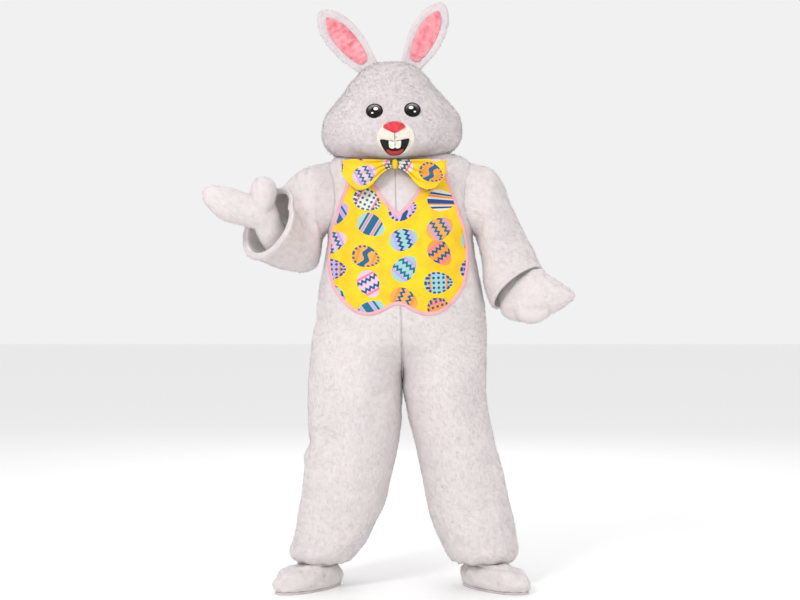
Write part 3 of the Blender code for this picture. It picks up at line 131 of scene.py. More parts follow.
# Folds: from one point to another, reach and push (below 0 a trough), and for a fine crease, which fades at
# both ends, how far its middle sags
FOLDS = [
    (-0.335, -0.020, 0.520, -0.235, -0.150, 0.548, 0.026, -0.011),
    (-0.345, 0.020, 0.505, -0.250, 0.150, 0.520, 0.026, -0.008),
    (-0.345, -0.010, 0.465, -0.255, -0.140, 0.485, 0.032, 0.006),
    (-0.365, -0.030, 0.325, -0.250, -0.140, 0.345, 0.026, -0.006),
    (-0.395, -0.030, 0.205, -0.200, -0.130, 0.190, 0.020, -0.006),
    (-0.395, -0.040, 0.150, -0.170, -0.100, 0.145, 0.018, -0.006),
    (-0.385, 0.050, 0.180, -0.180, 0.120, 0.170, 0.020, -0.006),
    (-0.130, -0.190, 0.860, -0.190, -0.150, 0.330, 0.050, 0.006),
    (-0.255, -0.160, 0.820, -0.300, -0.110, 0.420, 0.040, -0.005),
    (0.130, -0.190, 0.870, 0.230, -0.145, 0.320, 0.050, 0.006),
    (0.240, -0.150, 0.800, 0.330, -0.110, 0.400, 0.040, -0.005),
    (0.390, -0.040, 0.310, 0.260, -0.135, 0.285, 0.026, -0.006),
    (0.410, -0.040, 0.190, 0.200, -0.120, 0.165, 0.020, -0.006),
    (0.410, 0.050, 0.200, 0.210, 0.125, 0.170, 0.020, -0.006),
    (0.345, 0.010, 0.500, 0.210, -0.145, 0.520, 0.030, -0.005),
    (0.340, 0.030, 0.510, 0.180, 0.155, 0.530, 0.028, -0.008),
    (-0.270, 0.130, 0.735, -0.070, 0.175, 0.715, 0.022, -0.006),
    (0.070, 0.175, 0.715, 0.270, 0.130, 0.735, 0.022, -0.006),
    (-0.240, 0.120, 1.040, 0.180, 0.160, 1.015, 0.028, 0.005),
    (-0.200, 0.140, 0.960, 0.240, 0.120, 0.975, 0.024, -0.004),
    (-0.285, -0.060, 0.960, -0.170, -0.170, 0.925, 0.030, -0.005),
    (0.290, -0.060, 0.950, 0.180, -0.170, 0.915, 0.030, -0.005),
    (-0.385, -0.150, 1.365, -0.300, -0.110, 1.290, 0.020, -0.011),
    (-0.380, -0.110, 1.420, -0.300, -0.090, 1.370, 0.028, 0.006),
    (-0.340, 0.100, 1.300, -0.420, 0.070, 1.230, 0.024, -0.006),
    (-0.330, 0.020, 1.150, -0.400, 0.060, 1.180, 0.022, -0.005),
    (0.455, -0.060, 1.180, 0.370, -0.110, 1.165, 0.018, -0.006),
    (0.430, -0.080, 1.255, 0.310, -0.100, 1.215, 0.024, -0.006),
    (0.340, 0.100, 1.300, 0.420, 0.060, 1.230, 0.024, -0.006),
    (0.400, 0.060, 1.130, 0.330, 0.060, 1.090, 0.018, -0.005),
    # Right leg: knee, shin and the slack over the ankle
    (-0.328, -0.060, 0.560, -0.225, -0.150, 0.590, 0.013, -0.0045, 0.010),
    (-0.335, -0.050, 0.430, -0.240, -0.146, 0.452, 0.012, -0.004, 0.008),
    (-0.348, -0.070, 0.398, -0.262, -0.140, 0.392, 0.011, 0.003, 0.006),
    (-0.375, -0.050, 0.262, -0.240, -0.136, 0.246, 0.012, -0.004, 0.012),
    (-0.150, -0.120, 0.232, -0.250, -0.138, 0.222, 0.010, -0.003, 0.006),
    (-0.390, -0.050, 0.172, -0.260, -0.134, 0.164, 0.009, 0.003, 0.006),
    (-0.330, -0.110, 0.128, -0.190, -0.120, 0.124, 0.008, -0.0035, 0.004),
    (-0.060, -0.120, 0.640, -0.120, -0.165, 0.560, 0.013, -0.0035, 0.004),
    (-0.020, -0.100, 0.720, -0.110, -0.175, 0.690, 0.014, -0.0045, 0.006),
    (-0.030, -0.160, 0.790, -0.150, -0.190, 0.800, 0.014, -0.0035, 0.012),
    (-0.200, -0.175, 0.700, -0.260, -0.150, 0.640, 0.018, -0.003, 0.004),
    (-0.100, -0.150, 0.470, -0.165, -0.150, 0.400, 0.014, -0.0025, 0.004),
    # Left leg
    (0.330, -0.060, 0.560, 0.215, -0.150, 0.600, 0.013, -0.0035, 0.010),
    (0.355, -0.060, 0.440, 0.250, -0.146, 0.462, 0.012, -0.0035, 0.008),
    (0.372, -0.060, 0.352, 0.280, -0.140, 0.350, 0.012, -0.003, 0.006),
    (0.398, -0.050, 0.250, 0.265, -0.136, 0.232, 0.012, -0.004, 0.010),
    (0.412, -0.050, 0.158, 0.290, -0.134, 0.146, 0.008, 0.0028, 0.004),
    (0.360, -0.110, 0.128, 0.215, -0.122, 0.122, 0.008, -0.0035, 0.004),
    (0.060, -0.110, 0.650, 0.120, -0.165, 0.560, 0.013, -0.004, 0.004),
    (0.030, -0.100, 0.730, 0.110, -0.175, 0.700, 0.014, -0.0045, 0.006),
    (0.040, -0.160, 0.800, 0.160, -0.190, 0.812, 0.014, -0.0035, 0.012),
    (0.210, -0.170, 0.740, 0.270, -0.145, 0.660, 0.018, -0.003, 0.004),
    # Behind the knees, seat and back
    (-0.330, 0.050, 0.545, -0.180, 0.160, 0.560, 0.014, -0.0045, 0.010),
    (-0.335, 0.060, 0.470, -0.190, 0.155, 0.478, 0.012, -0.004, 0.008),
    (0.330, 0.050, 0.560, 0.160, 0.160, 0.575, 0.014, -0.0045, 0.010),
    (0.345, 0.060, 0.476, 0.190, 0.155, 0.470, 0.012, -0.004, 0.008),
    (-0.370, 0.060, 0.300, -0.200, 0.148, 0.286, 0.013, -0.0035, 0.008),
    (0.390, 0.060, 0.300, 0.220, 0.148, 0.280, 0.013, -0.0035, 0.008),
    (-0.040, 0.160, 0.790, -0.180, 0.185, 0.770, 0.016, -0.0045, 0.010),
    (0.050, 0.160, 0.800, 0.190, 0.183, 0.776, 0.016, -0.0045, 0.010),
    (-0.250, 0.090, 1.130, -0.110, 0.165, 1.105, 0.018, -0.0035, 0.012),
    (0.250, 0.090, 1.140, 0.100, 0.165, 1.110, 0.018, -0.0035, 0.012),
    (-0.220, 0.100, 1.330, -0.120, 0.150, 1.250, 0.018, -0.004, 0.004),
    (0.220, 0.100, 1.330, 0.120, 0.150, 1.250, 0.018, -0.004, 0.004),
    (-0.200, 0.100, 1.470, -0.080, 0.135, 1.440, 0.016, -0.003, 0.010),
    (0.170, 0.100, 1.470, 0.060, 0.135, 1.446, 0.016, -0.003, 0.010),
    # Sides of the trunk, which hang from the armholes
    (-0.262, -0.030, 1.250, -0.275, -0.050, 1.090, 0.016, -0.0035, 0.0),
    (0.262, -0.030, 1.250, 0.276, -0.050, 1.080, 0.016, -0.0035, 0.0),
    (-0.250, -0.090, 1.190, -0.262, -0.120, 1.010, 0.014, 0.0025, 0.0),
    (0.250, -0.090, 1.180, 0.266, -0.120, 1.000, 0.014, 0.0025, 0.0),
    # Right sleeve
    (-0.300, -0.080, 1.440, -0.375, -0.135, 1.400, 0.012, -0.0045, 0.004),
    (-0.290, -0.095, 1.330, -0.360, -0.120, 1.330, 0.011, -0.005, 0.006),
    (-0.330, -0.110, 1.250, -0.440, -0.150, 1.270, 0.014, -0.0045, 0.012),
    (-0.320, -0.080, 1.200, -0.430, -0.130, 1.215, 0.013, -0.004, 0.010),
    (-0.370, -0.060, 1.165, -0.450, -0.110, 1.180, 0.011, 0.003, 0.004),
    (-0.300, 0.090, 1.420, -0.390, 0.060, 1.360, 0.014, -0.004, 0.006),
    (-0.350, 0.100, 1.240, -0.450, 0.040, 1.260, 0.012, -0.0035, 0.006),
    # Left mitt, round the thumb
    (0.405, -0.115, 1.022, 0.520, -0.152, 1.006, 0.008, -0.0095, -0.006),
    (0.415, -0.125, 0.955, 0.505, -0.150, 0.960, 0.007, -0.008, 0.004),
    # Left sleeve
    (0.300, -0.085, 1.420, 0.360, -0.085, 1.350, 0.014, -0.004, 0.004),
    (0.320, -0.095, 1.330, 0.400, -0.090, 1.300, 0.013, -0.0035, 0.010),
    (0.450, -0.075, 1.215, 0.350, -0.105, 1.190, 0.011, -0.0045, 0.008),
    (0.460, -0.090, 1.140, 0.380, -0.110, 1.120, 0.010, -0.0035, 0.006),
    (0.340, -0.080, 1.110, 0.400, -0.100, 1.080, 0.010, -0.003, 0.004),
    (0.330, 0.090, 1.380, 0.420, 0.060, 1.310, 0.014, -0.004, 0.006),
    (0.450, 0.040, 1.200, 0.360, 0.080, 1.160, 0.012, -0.004, 0.006),
]
# Soft rolls over the seams: how deep each kind is sunk, and its radius
ROLLS = {"armhole": (0.0014, 0.0024), "straight": (0.0020, 0.0018), "head": (0.0018, 0.0022)}
ROLL_SIDES, ROLL_FLAT, ROLL_INSIDE, ROLL_STEP = 8, 1.3, 0.02, 0.008
LUMP_LENGTH, LUMP_HEIGHT, LUMP_WAVES = 0.11, 0.0011, 14
SEAM_DIP, SEAM_REACH, ARMHOLE_DIP = 0.0012, 0.008, 0.25      # panels roll in at their sewn edges
HEM_GATHERS, HEM_GATHER_DEPTH, HEM_GATHER_REACH = 22, 0.0030, 0.030

SLEEVE_RINGS = {
    RIGHT: [
        (0.315, 0.0, 1.508, 0.275, 0.0, 1.246, 0.100, 0),
        (0.355, -0.005, 1.488, 0.285, 0.010, 1.197, 0.105, 8),
        (0.385, -0.020, 1.463, 0.304, 0.020, 1.147, 0.105, 18),
        (0.402, -0.035, 1.443, 0.345, 0.010, 1.127, 0.108, 28),
        (0.412, -0.048, 1.430, 0.395, -0.015, 1.133, 0.112, 36),
        (0.420, -0.060, 1.422, 0.447, -0.060, 1.150, 0.116, 42),
        (0.430, -0.070, 1.415, 0.505, -0.115, 1.180, 0.118, 45),
    ],
    LEFT: [
        (0.325, 0.0, 1.495, 0.274, 0.0, 1.250, 0.100, 0), (0.365, 0.0, 1.450, 0.281, 0.0, 1.225, 0.102, 5),
        (0.397, -0.005, 1.366, 0.291, 0.0, 1.190, 0.100, 12),
        (0.432, -0.015, 1.285, 0.302, 0.0, 1.145, 0.098, 20),
        (0.462, -0.035, 1.215, 0.309, 0.0, 1.092, 0.100, 28),
        (0.480, -0.055, 1.168, 0.325, -0.005, 1.040, 0.100, 34),
        (0.484, -0.075, 1.142, 0.352, -0.030, 0.998, 0.094, 38),
    ],
}
SLEEVE_ROW_STEPS = 7
ARMHOLE_FADE = 4                                # rows over which the sleeve's folds begin
CUFF_ROLL = {RIGHT: (0.0080, 0.0090), LEFT: (0.0050, 0.0)}     # the padded hem, out and in
CUFF_FROM_END, CUFF_ROWS = 2.4, 2.3             # its middle and reach, in rows
MITT_COLUMNS, THUMB_COLUMNS = 28, 20
MITT_RINGS = {
    RIGHT: [
        (0.398, -0.035, 1.262, 0.424, -0.053, 1.1545, 0.044, 42),
        (0.428, -0.065, 1.310, 0.475, -0.092, 1.215, 0.044, 40),
        (0.440, -0.078, 1.352, 0.498, -0.108, 1.255, 0.044, 36),
        (0.463, -0.095, 1.392, 0.510, -0.118, 1.275, 0.042, 30),
        (0.505, -0.110, 1.398, 0.540, -0.125, 1.285, 0.040, 24),
        (0.560, -0.124, 1.408, 0.580, -0.134, 1.296, 0.038, 20),
        (0.615, -0.140, 1.424, 0.620, -0.146, 1.308, 0.036, 20),
        (0.655, -0.150, 1.430, 0.652, -0.154, 1.332, 0.030, 20),
        (0.680, -0.157, 1.421, 0.676, -0.160, 1.358, 0.020, 20),
        (0.690, -0.161, 1.403, 0.688, -0.163, 1.380, 0.008, 20),
    ],
    LEFT: [
        (0.454, -0.043, 1.161, 0.350, -0.015, 1.050, 0.050, 30),
        (0.4795, -0.071, 1.1365, 0.364, -0.036, 1.008, 0.055, 36),
        (0.499, -0.092, 1.135, 0.368, -0.055, 0.972, 0.060, 38),
        (0.515, -0.105, 1.118, 0.405, -0.090, 0.950, 0.060, 40),
        (0.535, -0.115, 1.106, 0.455, -0.112, 0.946, 0.057, 42),
        (0.560, -0.122, 1.088, 0.505, -0.126, 0.962, 0.050, 44),
        (0.584, -0.127, 1.072, 0.550, -0.132, 0.985, 0.038, 45),
        (0.604, -0.130, 1.058, 0.586, -0.133, 1.010, 0.022, 45),
        (0.613, -0.131, 1.046, 0.606, -0.133, 1.026, 0.009, 45),
    ],
}
THUMB_RINGS = {
    RIGHT: [
        (0.487, -0.118, 1.330, 0.030), (0.482, -0.126, 1.370, 0.041), (0.479, -0.128, 1.402, 0.044),
        (0.477, -0.128, 1.432, 0.041), (0.475, -0.126, 1.451, 0.028), (0.474, -0.125, 1.459, 0.010),
    ],
    LEFT: [
        (0.400, -0.090, 1.000, 0.022), (0.420, -0.120, 0.985, 0.030), (0.450, -0.142, 0.974, 0.031),
        (0.485, -0.155, 0.974, 0.028), (0.512, -0.160, 0.979, 0.018), (0.521, -0.161, 0.981, 0.006),
    ],
}
MITT_NUDGE = {RIGHT: (0.0002, -0.0006, -0.0016), LEFT: (0.0009, -0.0003, 0.0015)}
MITT_VOXEL, WRIST_TRIM = 0.0036, 0.003
ON_SEAM, MITT_SEAM_REACH = 0.0004, 0.007

FOOT_TURN = 43.0
FOOT_PLACE = {RIGHT: (0.323, -0.070), LEFT: (0.336, -0.070)}
FOOT_RINGS = [
    # height, along, half length, half width
    (0.0085, 0.0, 0.150, 0.064), (0.028, 0.0, 0.156, 0.069), (0.052, -0.003, 0.150, 0.067),
    (0.070, -0.014, 0.130, 0.061), (0.081, -0.032, 0.100, 0.055), (0.089, -0.050, 0.070, 0.050),
    (0.104, -0.060, 0.053, 0.045),
]
FOOT_RISE = {RIGHT: 1.034, LEFT: 1.056}
FOOT_COLUMNS, TOE_SPREAD, SOLE_THICK = 64, 0.14, 0.008
FOOT_LUMPS, TOE_GATHERS, INSTEP_FOLDS, FOOT_DIP = 0.0036, 0.0024, 0.0038, 0.0016
# The sole's edge: height and how far it stands out
SOLE_EDGE = [(0.0, -0.0025), (0.0010, -0.0006), (0.0040, 0.0), (0.0070, -0.0006), (SOLE_THICK, -0.0022)]

HEAD_PLACE, HEAD_YAW, HEAD_ROLL, HEAD_PIVOT = (-0.027, -0.005), 2.0, -2.0, 1.600
HEAD = Track("height wide front back", [
    (1.518, 0.165, 0.150, 0.130), (1.535, 0.188, 0.178, 0.140), (1.552, 0.211, 0.196, 0.150),
    (1.566, 0.228, 0.205, 0.157), (1.584, 0.240, 0.210, 0.166), (1.602, 0.247, 0.212, 0.175),
    (1.634, 0.251, 0.212, 0.186), (1.674, 0.243, 0.207, 0.190), (1.710, 0.221, 0.198, 0.187),
    (1.746, 0.190, 0.186, 0.178), (1.782, 0.158, 0.166, 0.160), (1.818, 0.132, 0.138, 0.134),
    (1.840, 0.114, 0.113, 0.110), (1.856, 0.094, 0.088, 0.086), (1.868, 0.071, 0.060, 0.058),
    (1.876, 0.050, 0.030, 0.030), (1.879, 0.036, 0.0004, 0.0004),
])
HEAD_TOP, HEAD_RIM, HEAD_RIM_SIDE = 1.879, {FRONT: 1.518, BACK: 1.550}, 1.5445
HEAD_COLUMNS, HEAD_ROWS, HEAD_LUMPS = 64, 56, 0.0012
MUZZLE_AT, MUZZLE_REACH, MUZZLE_PUSH = (0.0, 1.585), 0.075, 0.030
EAR_WIDTH = Track("along half", [(0.0, 0.034), (0.10, 0.036), (0.24, 0.046), (0.41, 0.058), (0.60, 0.062),
                                 (0.78, 0.055), (0.91, 0.036), (0.97, 0.020), (1.0, 0.006)])
EAR_THICK, EAR_CUP, EAR_SUNK, EAR_ROLL = 0.011, 0.014, 0.030, 0.0035
PUCKER, PUCKER_LIFT = 0.0021, 0.0020
LINING_SPAN, LINING_HALF, LINING_THICK = (0.205, 0.885), 0.60, 0.002
LINING_SHAPE = Track("along share", [(0.0, 0.30), (0.015, 0.52), (0.06, 0.72), (0.20, 0.90), (0.45, 1.00),
                                     (0.68, 0.94), (0.84, 0.74), (0.94, 0.48), (0.985, 0.24), (1.0, 0.08)])
EARS = {
    RIGHT: ((-0.070, -0.010, 1.855), (-0.243, 0.010, 2.072)),
    LEFT: ((0.070, -0.010, 1.855), (0.199, 0.010, 2.088)),
}
EYES = {RIGHT: (-0.066, 1.683), LEFT: (0.066, 1.683)}
EYE_SIZE, EYE_CROWN = (0.0295, 0.026), 0.011
NOSE_AT, NOSE_SIZE, NOSE_CROWN, NOSE_NARROW = (0.0, 1.620), (0.038, 0.020), 0.020, 0.45
PATCH_AT, PATCH_SIZE, PATCH_THICK = (0.004, 1.585), (0.064, 0.054), 0.0036
PATCH_TOP = LAID + PATCH_THICK
# Half outlines, on the costume's left of the middle
MOUTH_HALF = [
    (0.0, 1.574), (0.020, 1.577), (0.038, 1.581), (0.048, 1.580), (0.044, 1.563), (0.032, 1.544),
    (0.016, 1.533), (0.0, 1.531),
]
TEETH_HALF = [
    (0.0, 1.5735), (0.010, 1.574), (0.0185, 1.5755), (0.0195, 1.566), (0.0175, 1.557), (0.010, 1.5535),
    (0.003, 1.5545), (0.0, 1.558),
]
LIP_HALF = [
    (0.0, 1.5455), (0.012, 1.5465), (0.024, 1.5505), (0.0275, 1.549), (0.022, 1.5415), (0.012, 1.5365),
    (0.0, 1.5355),
]
# A laid piece's rings: size, height in its thickness, and whether it lies over the pads even on the muzzle
PATCH_RINGS = [(0.985, 0.0, 0), (1.0, 0.45, 1), (0.99, 0.85, 1), (0.97, 1.0, 1), (0.85, 1.0, 1), (0.65, 1.0, 1),
               (0.42, 1.0, 1), (0.20, 1.0, 1), (0.04, 1.0, 1), (0.04, 0.0, 0), (0.42, 0.0, 0), (0.85, 0.0, 0)]
PAD_AT, PAD_REACH, PAD_RISE = (0.030, 1.602), (0.024, 0.017), 0.0045

VEST_MIDDLE = -0.006
# Vest, distance from its middle and height: the V of the neck up to the shoulder, then the side down
VEST_NECK = [(0.0, 1.328), (0.037, 1.365), (0.076, 1.4215), (0.105, 1.470), (0.125, 1.505)]
VEST_SIDE = [
    (0.165, 1.505), (0.182, 1.436), (0.210, 1.360), (0.222, 1.318), (0.240, 1.270), (0.249, 1.190),
    (0.240, 1.100), (0.222, 1.056), (0.195, 1.020), (0.172, 0.998), (0.148, 0.982), (0.108, 0.972),
]
VEST_HEM = [(0.075, 0.977), (0.045, 0.990), (0.020, 1.004), (0.0, 1.010)]
VEST_CLOTH, BINDING_WIDTH, BINDING_CLOTH = 0.0025, 0.012, 0.0045
VEST_IN = 0.006                                 # how far the cloth stops inside its binding
BINDING_SIDES = 10

BOW_AT = (-0.0174, 1.500)
BOW_WING = Track("out under over", [
    (0.014, 0.015, 0.013), (0.043, 0.033, 0.013), (0.070, 0.064, 0.014), (0.096, 0.085, 0.015),
    (0.122, 0.092, 0.016), (0.148, 0.081, 0.015), (0.168, 0.058, 0.013), (0.184, 0.032, 0.010),
])
BOW_LENGTH = {RIGHT: 0.186, LEFT: 0.178}
BOW_FRONT, BOW_BACK, BOW_CLOTH = -0.195, -0.168, 0.003
BOW_PINCH, BOW_PINCH_REACH = 0.55, 0.060
BOW_PLEATS, BOW_PLEAT_DEPTH, BOW_PLEAT_REACH, BOW_BELLY = 3.0, 0.0068, 0.62, 0.0028
KNOT_RINGS, KNOT_COLUMNS, KNOT_IN = 26, 40, 0.97
KNOT_HALF, KNOT_TUCK = 0.013, 0.0009
BOW_COLUMNS, BOW_TURNS, BOW_ROWS = 34, 12, 49

CAMERA_AT, CAMERA_LENS = (0.0, -5.5, -0.474), 68.8
WORLD_LIGHT = 0.88


# Shader maths

class Number:
    """The value on a node's socket, for Python's own signs to work on."""

    def __init__(self, finish, socket):
        self.finish, self.socket = finish, socket

    def maths(self, operation, *others):
        return self.finish.node("ShaderNodeMath", {"operation": operation}, dict(enumerate((self, *others))))

    def reflected(self, operation, first):
        """The same with this value second."""
        return self.finish.node("ShaderNodeMath", {"operation": operation}, {0: first, 1: self})

    def __add__(self, other):
        return self.maths("ADD", other)

    def __sub__(self, other):
        return self.maths("SUBTRACT", other)

    def __rsub__(self, other):
        return self.reflected("SUBTRACT", other)

    def __mul__(self, other):
        return self.maths("MULTIPLY", other)

    def __truediv__(self, other):
        return self.maths("DIVIDE", other)

    def __rtruediv__(self, other):
        return self.reflected("DIVIDE", other)

    def __pow__(self, other):
        return self.maths("POWER", other)

    def __lt__(self, other):
        return self.maths("LESS_THAN", other)

    def __gt__(self, other):
        return self.maths("GREATER_THAN", other)

    def __abs__(self):
        return self.maths("ABSOLUTE")

    __radd__ = __add__
    __rmul__ = __mul__


class Finish:
    """A material being made: its Principled shader, and nodes that all come from one method."""

    def __init__(self, name, colour=(0.8, 0.8, 0.8), **sockets):
        self.material = bpy.data.materials.new(name)
        self.material.use_nodes = True
        self.tree = self.material.node_tree
        self.shader = self.tree.nodes["Principled BSDF"]
        self.shader.inputs["Base Color"].default_value = (*colour, 1.0)
        self.material.diffuse_color = (*colour, 1.0)
        for socket, value in sockets.items():
            self.shader.inputs[socket.replace("_", " ")].default_value = value

    def node(self, kind, settings=None, values=None, output=0):
        """A new node with its settings and then its sockets' values or links; returns one output."""
        made = self.tree.nodes.new(kind)
        for name, value in (settings or {}).items():
            if name == "stops":
                ramp = made.color_ramp
                while len(ramp.elements) < len(value):
                    ramp.elements.new(0.5)
                for element, (place, colour) in zip(ramp.elements, value):
                    element.position, element.color = place, (*colour, 1.0)
            elif name == "interpolation" and kind == "ShaderNodeValToRGB":
                made.color_ramp.interpolation = value
            else:
                setattr(made, name, value)
        for place, value in (values or {}).items():
            if isinstance(value, Number):
                self.tree.links.new(value.socket, made.inputs[place])
            elif isinstance(value, tuple) and made.inputs[place].type == "RGBA":
                made.inputs[place].default_value = (*value, 1.0)
            else:
                made.inputs[place].default_value = value
        return Number(self, made.outputs[output])

    def feed(self, socket, value):
        self.tree.links.new(value.socket, self.shader.inputs[socket])

    def mix(self, share, first, second):
        """A colour between two, by share; inputs 6 and 7 are the Mix node's colours."""
        return self.node("ShaderNodeMix", {"data_type": "RGBA"}, {0: share, 6: first, 7: second}, 2)

    def ramp(self, value, stops, interpolation="LINEAR"):
        return self.node("ShaderNodeValToRGB", {"interpolation": interpolation, "stops": stops}, {0: value})

    def place(self, layer=None):
        """Where a point is: on the piece's own map in metres, or in space."""
        if layer:
            return self.node("ShaderNodeUVMap", {"uv_map": layer})
        return self.node("ShaderNodeTexCoord", output=3)

    def apart(self, vector):
        """The X and Y of a vector."""
        node = self.node("ShaderNodeSeparateXYZ", values={0: vector}).socket.node
        return Number(self, node.outputs[0]), Number(self, node.outputs[1])

    def joined(self, x, y):
        return self.node("ShaderNodeCombineXYZ", values={0: x, 1: y})

    def noise(self, where, scale, detail=2.0, roughness=0.5):
        return self.node("ShaderNodeTexNoise", values={"Vector": where, "Scale": scale, "Detail": detail,
                                                       "Roughness": roughness})

    def bump(self, height, strength, distance, before=None):
        values = {"Strength": strength, "Distance": distance, "Height": height}
        if before:
            values["Normal"] = before
        return self.node("ShaderNodeBump", values=values)


def srgb(red, green, blue):
    """A colour of the sRGB scale, 0 to 255, as the shader's linear one."""
    return tuple(c / 12.92 if c <= 0.04045 else ((c + 0.055) / 1.055) ** 2.4
                 for c in (red / 255, green / 255, blue / 255))


def plush_finish(name, pale, shade, deep, pile=0.0035, tuft=55.0):
    """Short-pile plush: tufts that part a little, soft darker and pinker areas at random, and painted shade in
    the partings between the tufts.
    """
    finish = Finish(name, pale, Roughness=0.95, Sheen_Weight=0.35, Sheen_Roughness=0.45)
    where = finish.place()
    broad = finish.noise(where, 5.0, 3.0)
    tufts = finish.noise(where, tuft, 3.0, 0.6)
    fine = finish.noise(where, 420.0, 2.0, 0.7)
    colour = finish.ramp(broad, [(0.36, shade), (0.60, pale)])
    # Painted shade: the deep tone fills where the tufts' bump is low, darkening the partings between tufts; the
    # broad ramp above is random tone
    colour = finish.mix(finish.ramp(tufts, [(0.30, (0.60,) * 3), (0.52, (0.0,) * 3)]), colour, deep)
    finish.feed("Base Color", colour)
    rough = finish.bump(fine, 0.35, 0.0012)
    finish.feed("Normal", finish.bump(tufts, 0.40, pile, rough))
    return finish.material


def cloth_finish(name, colour, dark, tone, stops, grain, bump, base=None, **sockets):
    """Cloth of one colour, a little uneven in tone, with fine threads or fibres."""
    finish = Finish(name, base or colour, **sockets)
    where = finish.place()
    shade = finish.noise(where, *tone)
    finish.feed("Base Color", finish.ramp(shade, [(stops[0], dark), (stops[1], colour)]))
    finish.feed("Normal", finish.bump(finish.noise(where, *grain), *bump))
    return finish.material


def woven_finish(name, colour, thread=1500.0, **sockets):
    return cloth_finish(name, colour, tuple(c * 0.82 for c in colour), (24.0, 3.0), (0.30, 0.62),
                        (thread, 1.0, 0.4), (0.25, 0.0004), **sockets)


def felt_finish(name, colour, dark, sheen=0.25, rough=0.75):
    return cloth_finish(name, colour, dark, (60.0, 3.0), (0.32, 0.60), (900.0, 2.0, 0.7), (0.30, 0.0006),
                        Roughness=rough, Sheen_Weight=sheen, Sheen_Roughness=0.4)


EGG_CELL = (0.124, 0.100)
EGG_HALF = (0.050, 0.037)
EGG_SCATTER, EGG_TURN, EGG_TILT, EGG_POINT = (0.022, 0.020), 2.2, 0.15, 0.20
EGG_PASTELS = [(204, 172, 200), (228, 148, 56), (150, 196, 196), (184, 166, 210), (216, 188, 206),
               (232, 160, 76), (214, 214, 206)]
EGG_DARKS = [(0, 74, 130), (0, 88, 124), (0, 62, 126), (0, 98, 132)]


def egg_print(name, layer, spread=1.0, folds=None):
    """Yellow cloth printed all over with decorated eggs, each cell's egg turned and coloured by chance; with a
    folds map, painted shade darkens the print in the fold valleys.
    """
    finish = Finish(name, srgb(255, 220, 0), Roughness=0.62, Sheen_Weight=0.12, Sheen_Roughness=0.4)
    u, v = finish.apart(finish.place(layer))
    u, v = u * spread + 2.031, v * spread + 3.017
    column = (u / EGG_CELL[0]).maths("FLOOR")
    odd = column.maths("MODULO", 2.0)
    dropped = v / EGG_CELL[1] + odd * 0.5
    row = dropped.maths("FLOOR")
    chance = finish.node("ShaderNodeTexWhiteNoise", {"noise_dimensions": "2D"},
                         {"Vector": finish.joined(column, row)}, 1)
    split = finish.node("ShaderNodeSeparateColor", values={0: chance}).socket.node
    first, second, third = (Number(finish, split.outputs[k]) for k in range(3))
    across = (u / EGG_CELL[0] - column - 0.5) * EGG_CELL[0] + (second - 0.5) * EGG_SCATTER[0]
    upwards = (dropped - row - 0.5) * EGG_CELL[1] + (third - 0.5) * EGG_SCATTER[1]
    turn = (first - 0.5) * EGG_TURN - EGG_TILT
    cosine, sine = turn.maths("COSINE"), turn.maths("SINE")
    along = across * cosine + upwards * sine
    over = upwards * cosine - across * sine
    long = along / EGG_HALF[0]
    wide = over / (EGG_HALF[1] * (1.0 + long * -EGG_POINT))
    inside = (long * long + wide * wide) < 1.0
    # Decorations: bands, zigzag lines, dots and a wavy middle
    saw = over * 62.0
    zigzag = abs(saw - saw.maths("FLOOR") - 0.5) * 0.44
    bands = (abs(long) < 0.24) + (abs(abs(long) - 0.58) < 0.075)
    zags = (abs(long + zigzag - 0.42) < 0.115) + (abs(long + zigzag + 0.20) < 0.115)
    dot_u, dot_v = along * 58.0, over * 58.0
    near_u, near_v = dot_u - dot_u.maths("ROUND"), dot_v - dot_v.maths("ROUND")
    dots = (near_u * near_u + near_v * near_v) < 0.075
    wave = abs(long + (over * 150.0).maths("SINE") * 0.12) < 0.20
    kind = second * 4.0
    # Stripes run the egg's long way on some, and some have a dashed rim
    lanes = (abs(wide + 0.12) < 0.20) + (abs(abs(wide + 0.05) - 0.62) < 0.09)
    rim = (long * long + wide * wide) > 0.66
    round_it = wide.maths("ARCTAN2", long) * 2.6
    dashes = rim * (abs(round_it - round_it.maths("ROUND")) < 0.27)
    drawn = (bands * (kind < 0.8) + lanes * (kind > 0.8) * (kind < 1.2) + zags * (kind > 1.2) * (kind < 2.4)
             + (dots + dashes) * (kind > 2.4) * (kind < 3.1) + (wave + dashes) * (kind > 3.1))
    trim = ((abs(abs(long) - 0.38) < 0.07) * (kind < 0.8) + (abs(abs(wide) - 0.34) < 0.10) * (kind > 0.8)
            * (kind < 1.2) + (abs(abs(long) - 0.60) < 0.08) * (kind > 1.2))
    pale, dark = (
        finish.ramp(value, [(k / len(tones), srgb(*tone)) for k, tone in enumerate(tones)], "CONSTANT")
        for value, tones in ((third, EGG_PASTELS), (first, EGG_DARKS)))
    accent = finish.ramp(first, [(0.0, srgb(240, 120, 150)), (0.35, srgb(236, 140, 24)),
                                 (0.7, srgb(190, 150, 216))], "CONSTANT")
    egg = finish.mix(trim.maths("MINIMUM", 1.0), pale, accent)
    egg = finish.mix(drawn.maths("MINIMUM", 1.0), egg, dark)
    cloth = finish.noise(finish.place(), 18.0, 3.0)
    ground = finish.ramp(cloth, [(0.32, srgb(232, 184, 0)), (0.62, srgb(242, 203, 0))])
    printed = finish.mix(inside, ground, egg)
    # Painted shade: the folds map darkens the print towards a deep mustard in the pleats' valleys
    if folds:
        deep, _ = finish.apart(finish.place(folds))
        printed = finish.mix(deep * 0.55, printed, srgb(150, 108, 6))
    finish.feed("Base Color", printed)
    weave = finish.noise(finish.place(), 1400.0, 1.0, 0.4)
    finish.feed("Normal", finish.bump(weave, 0.20, 0.0004))
    return finish.material


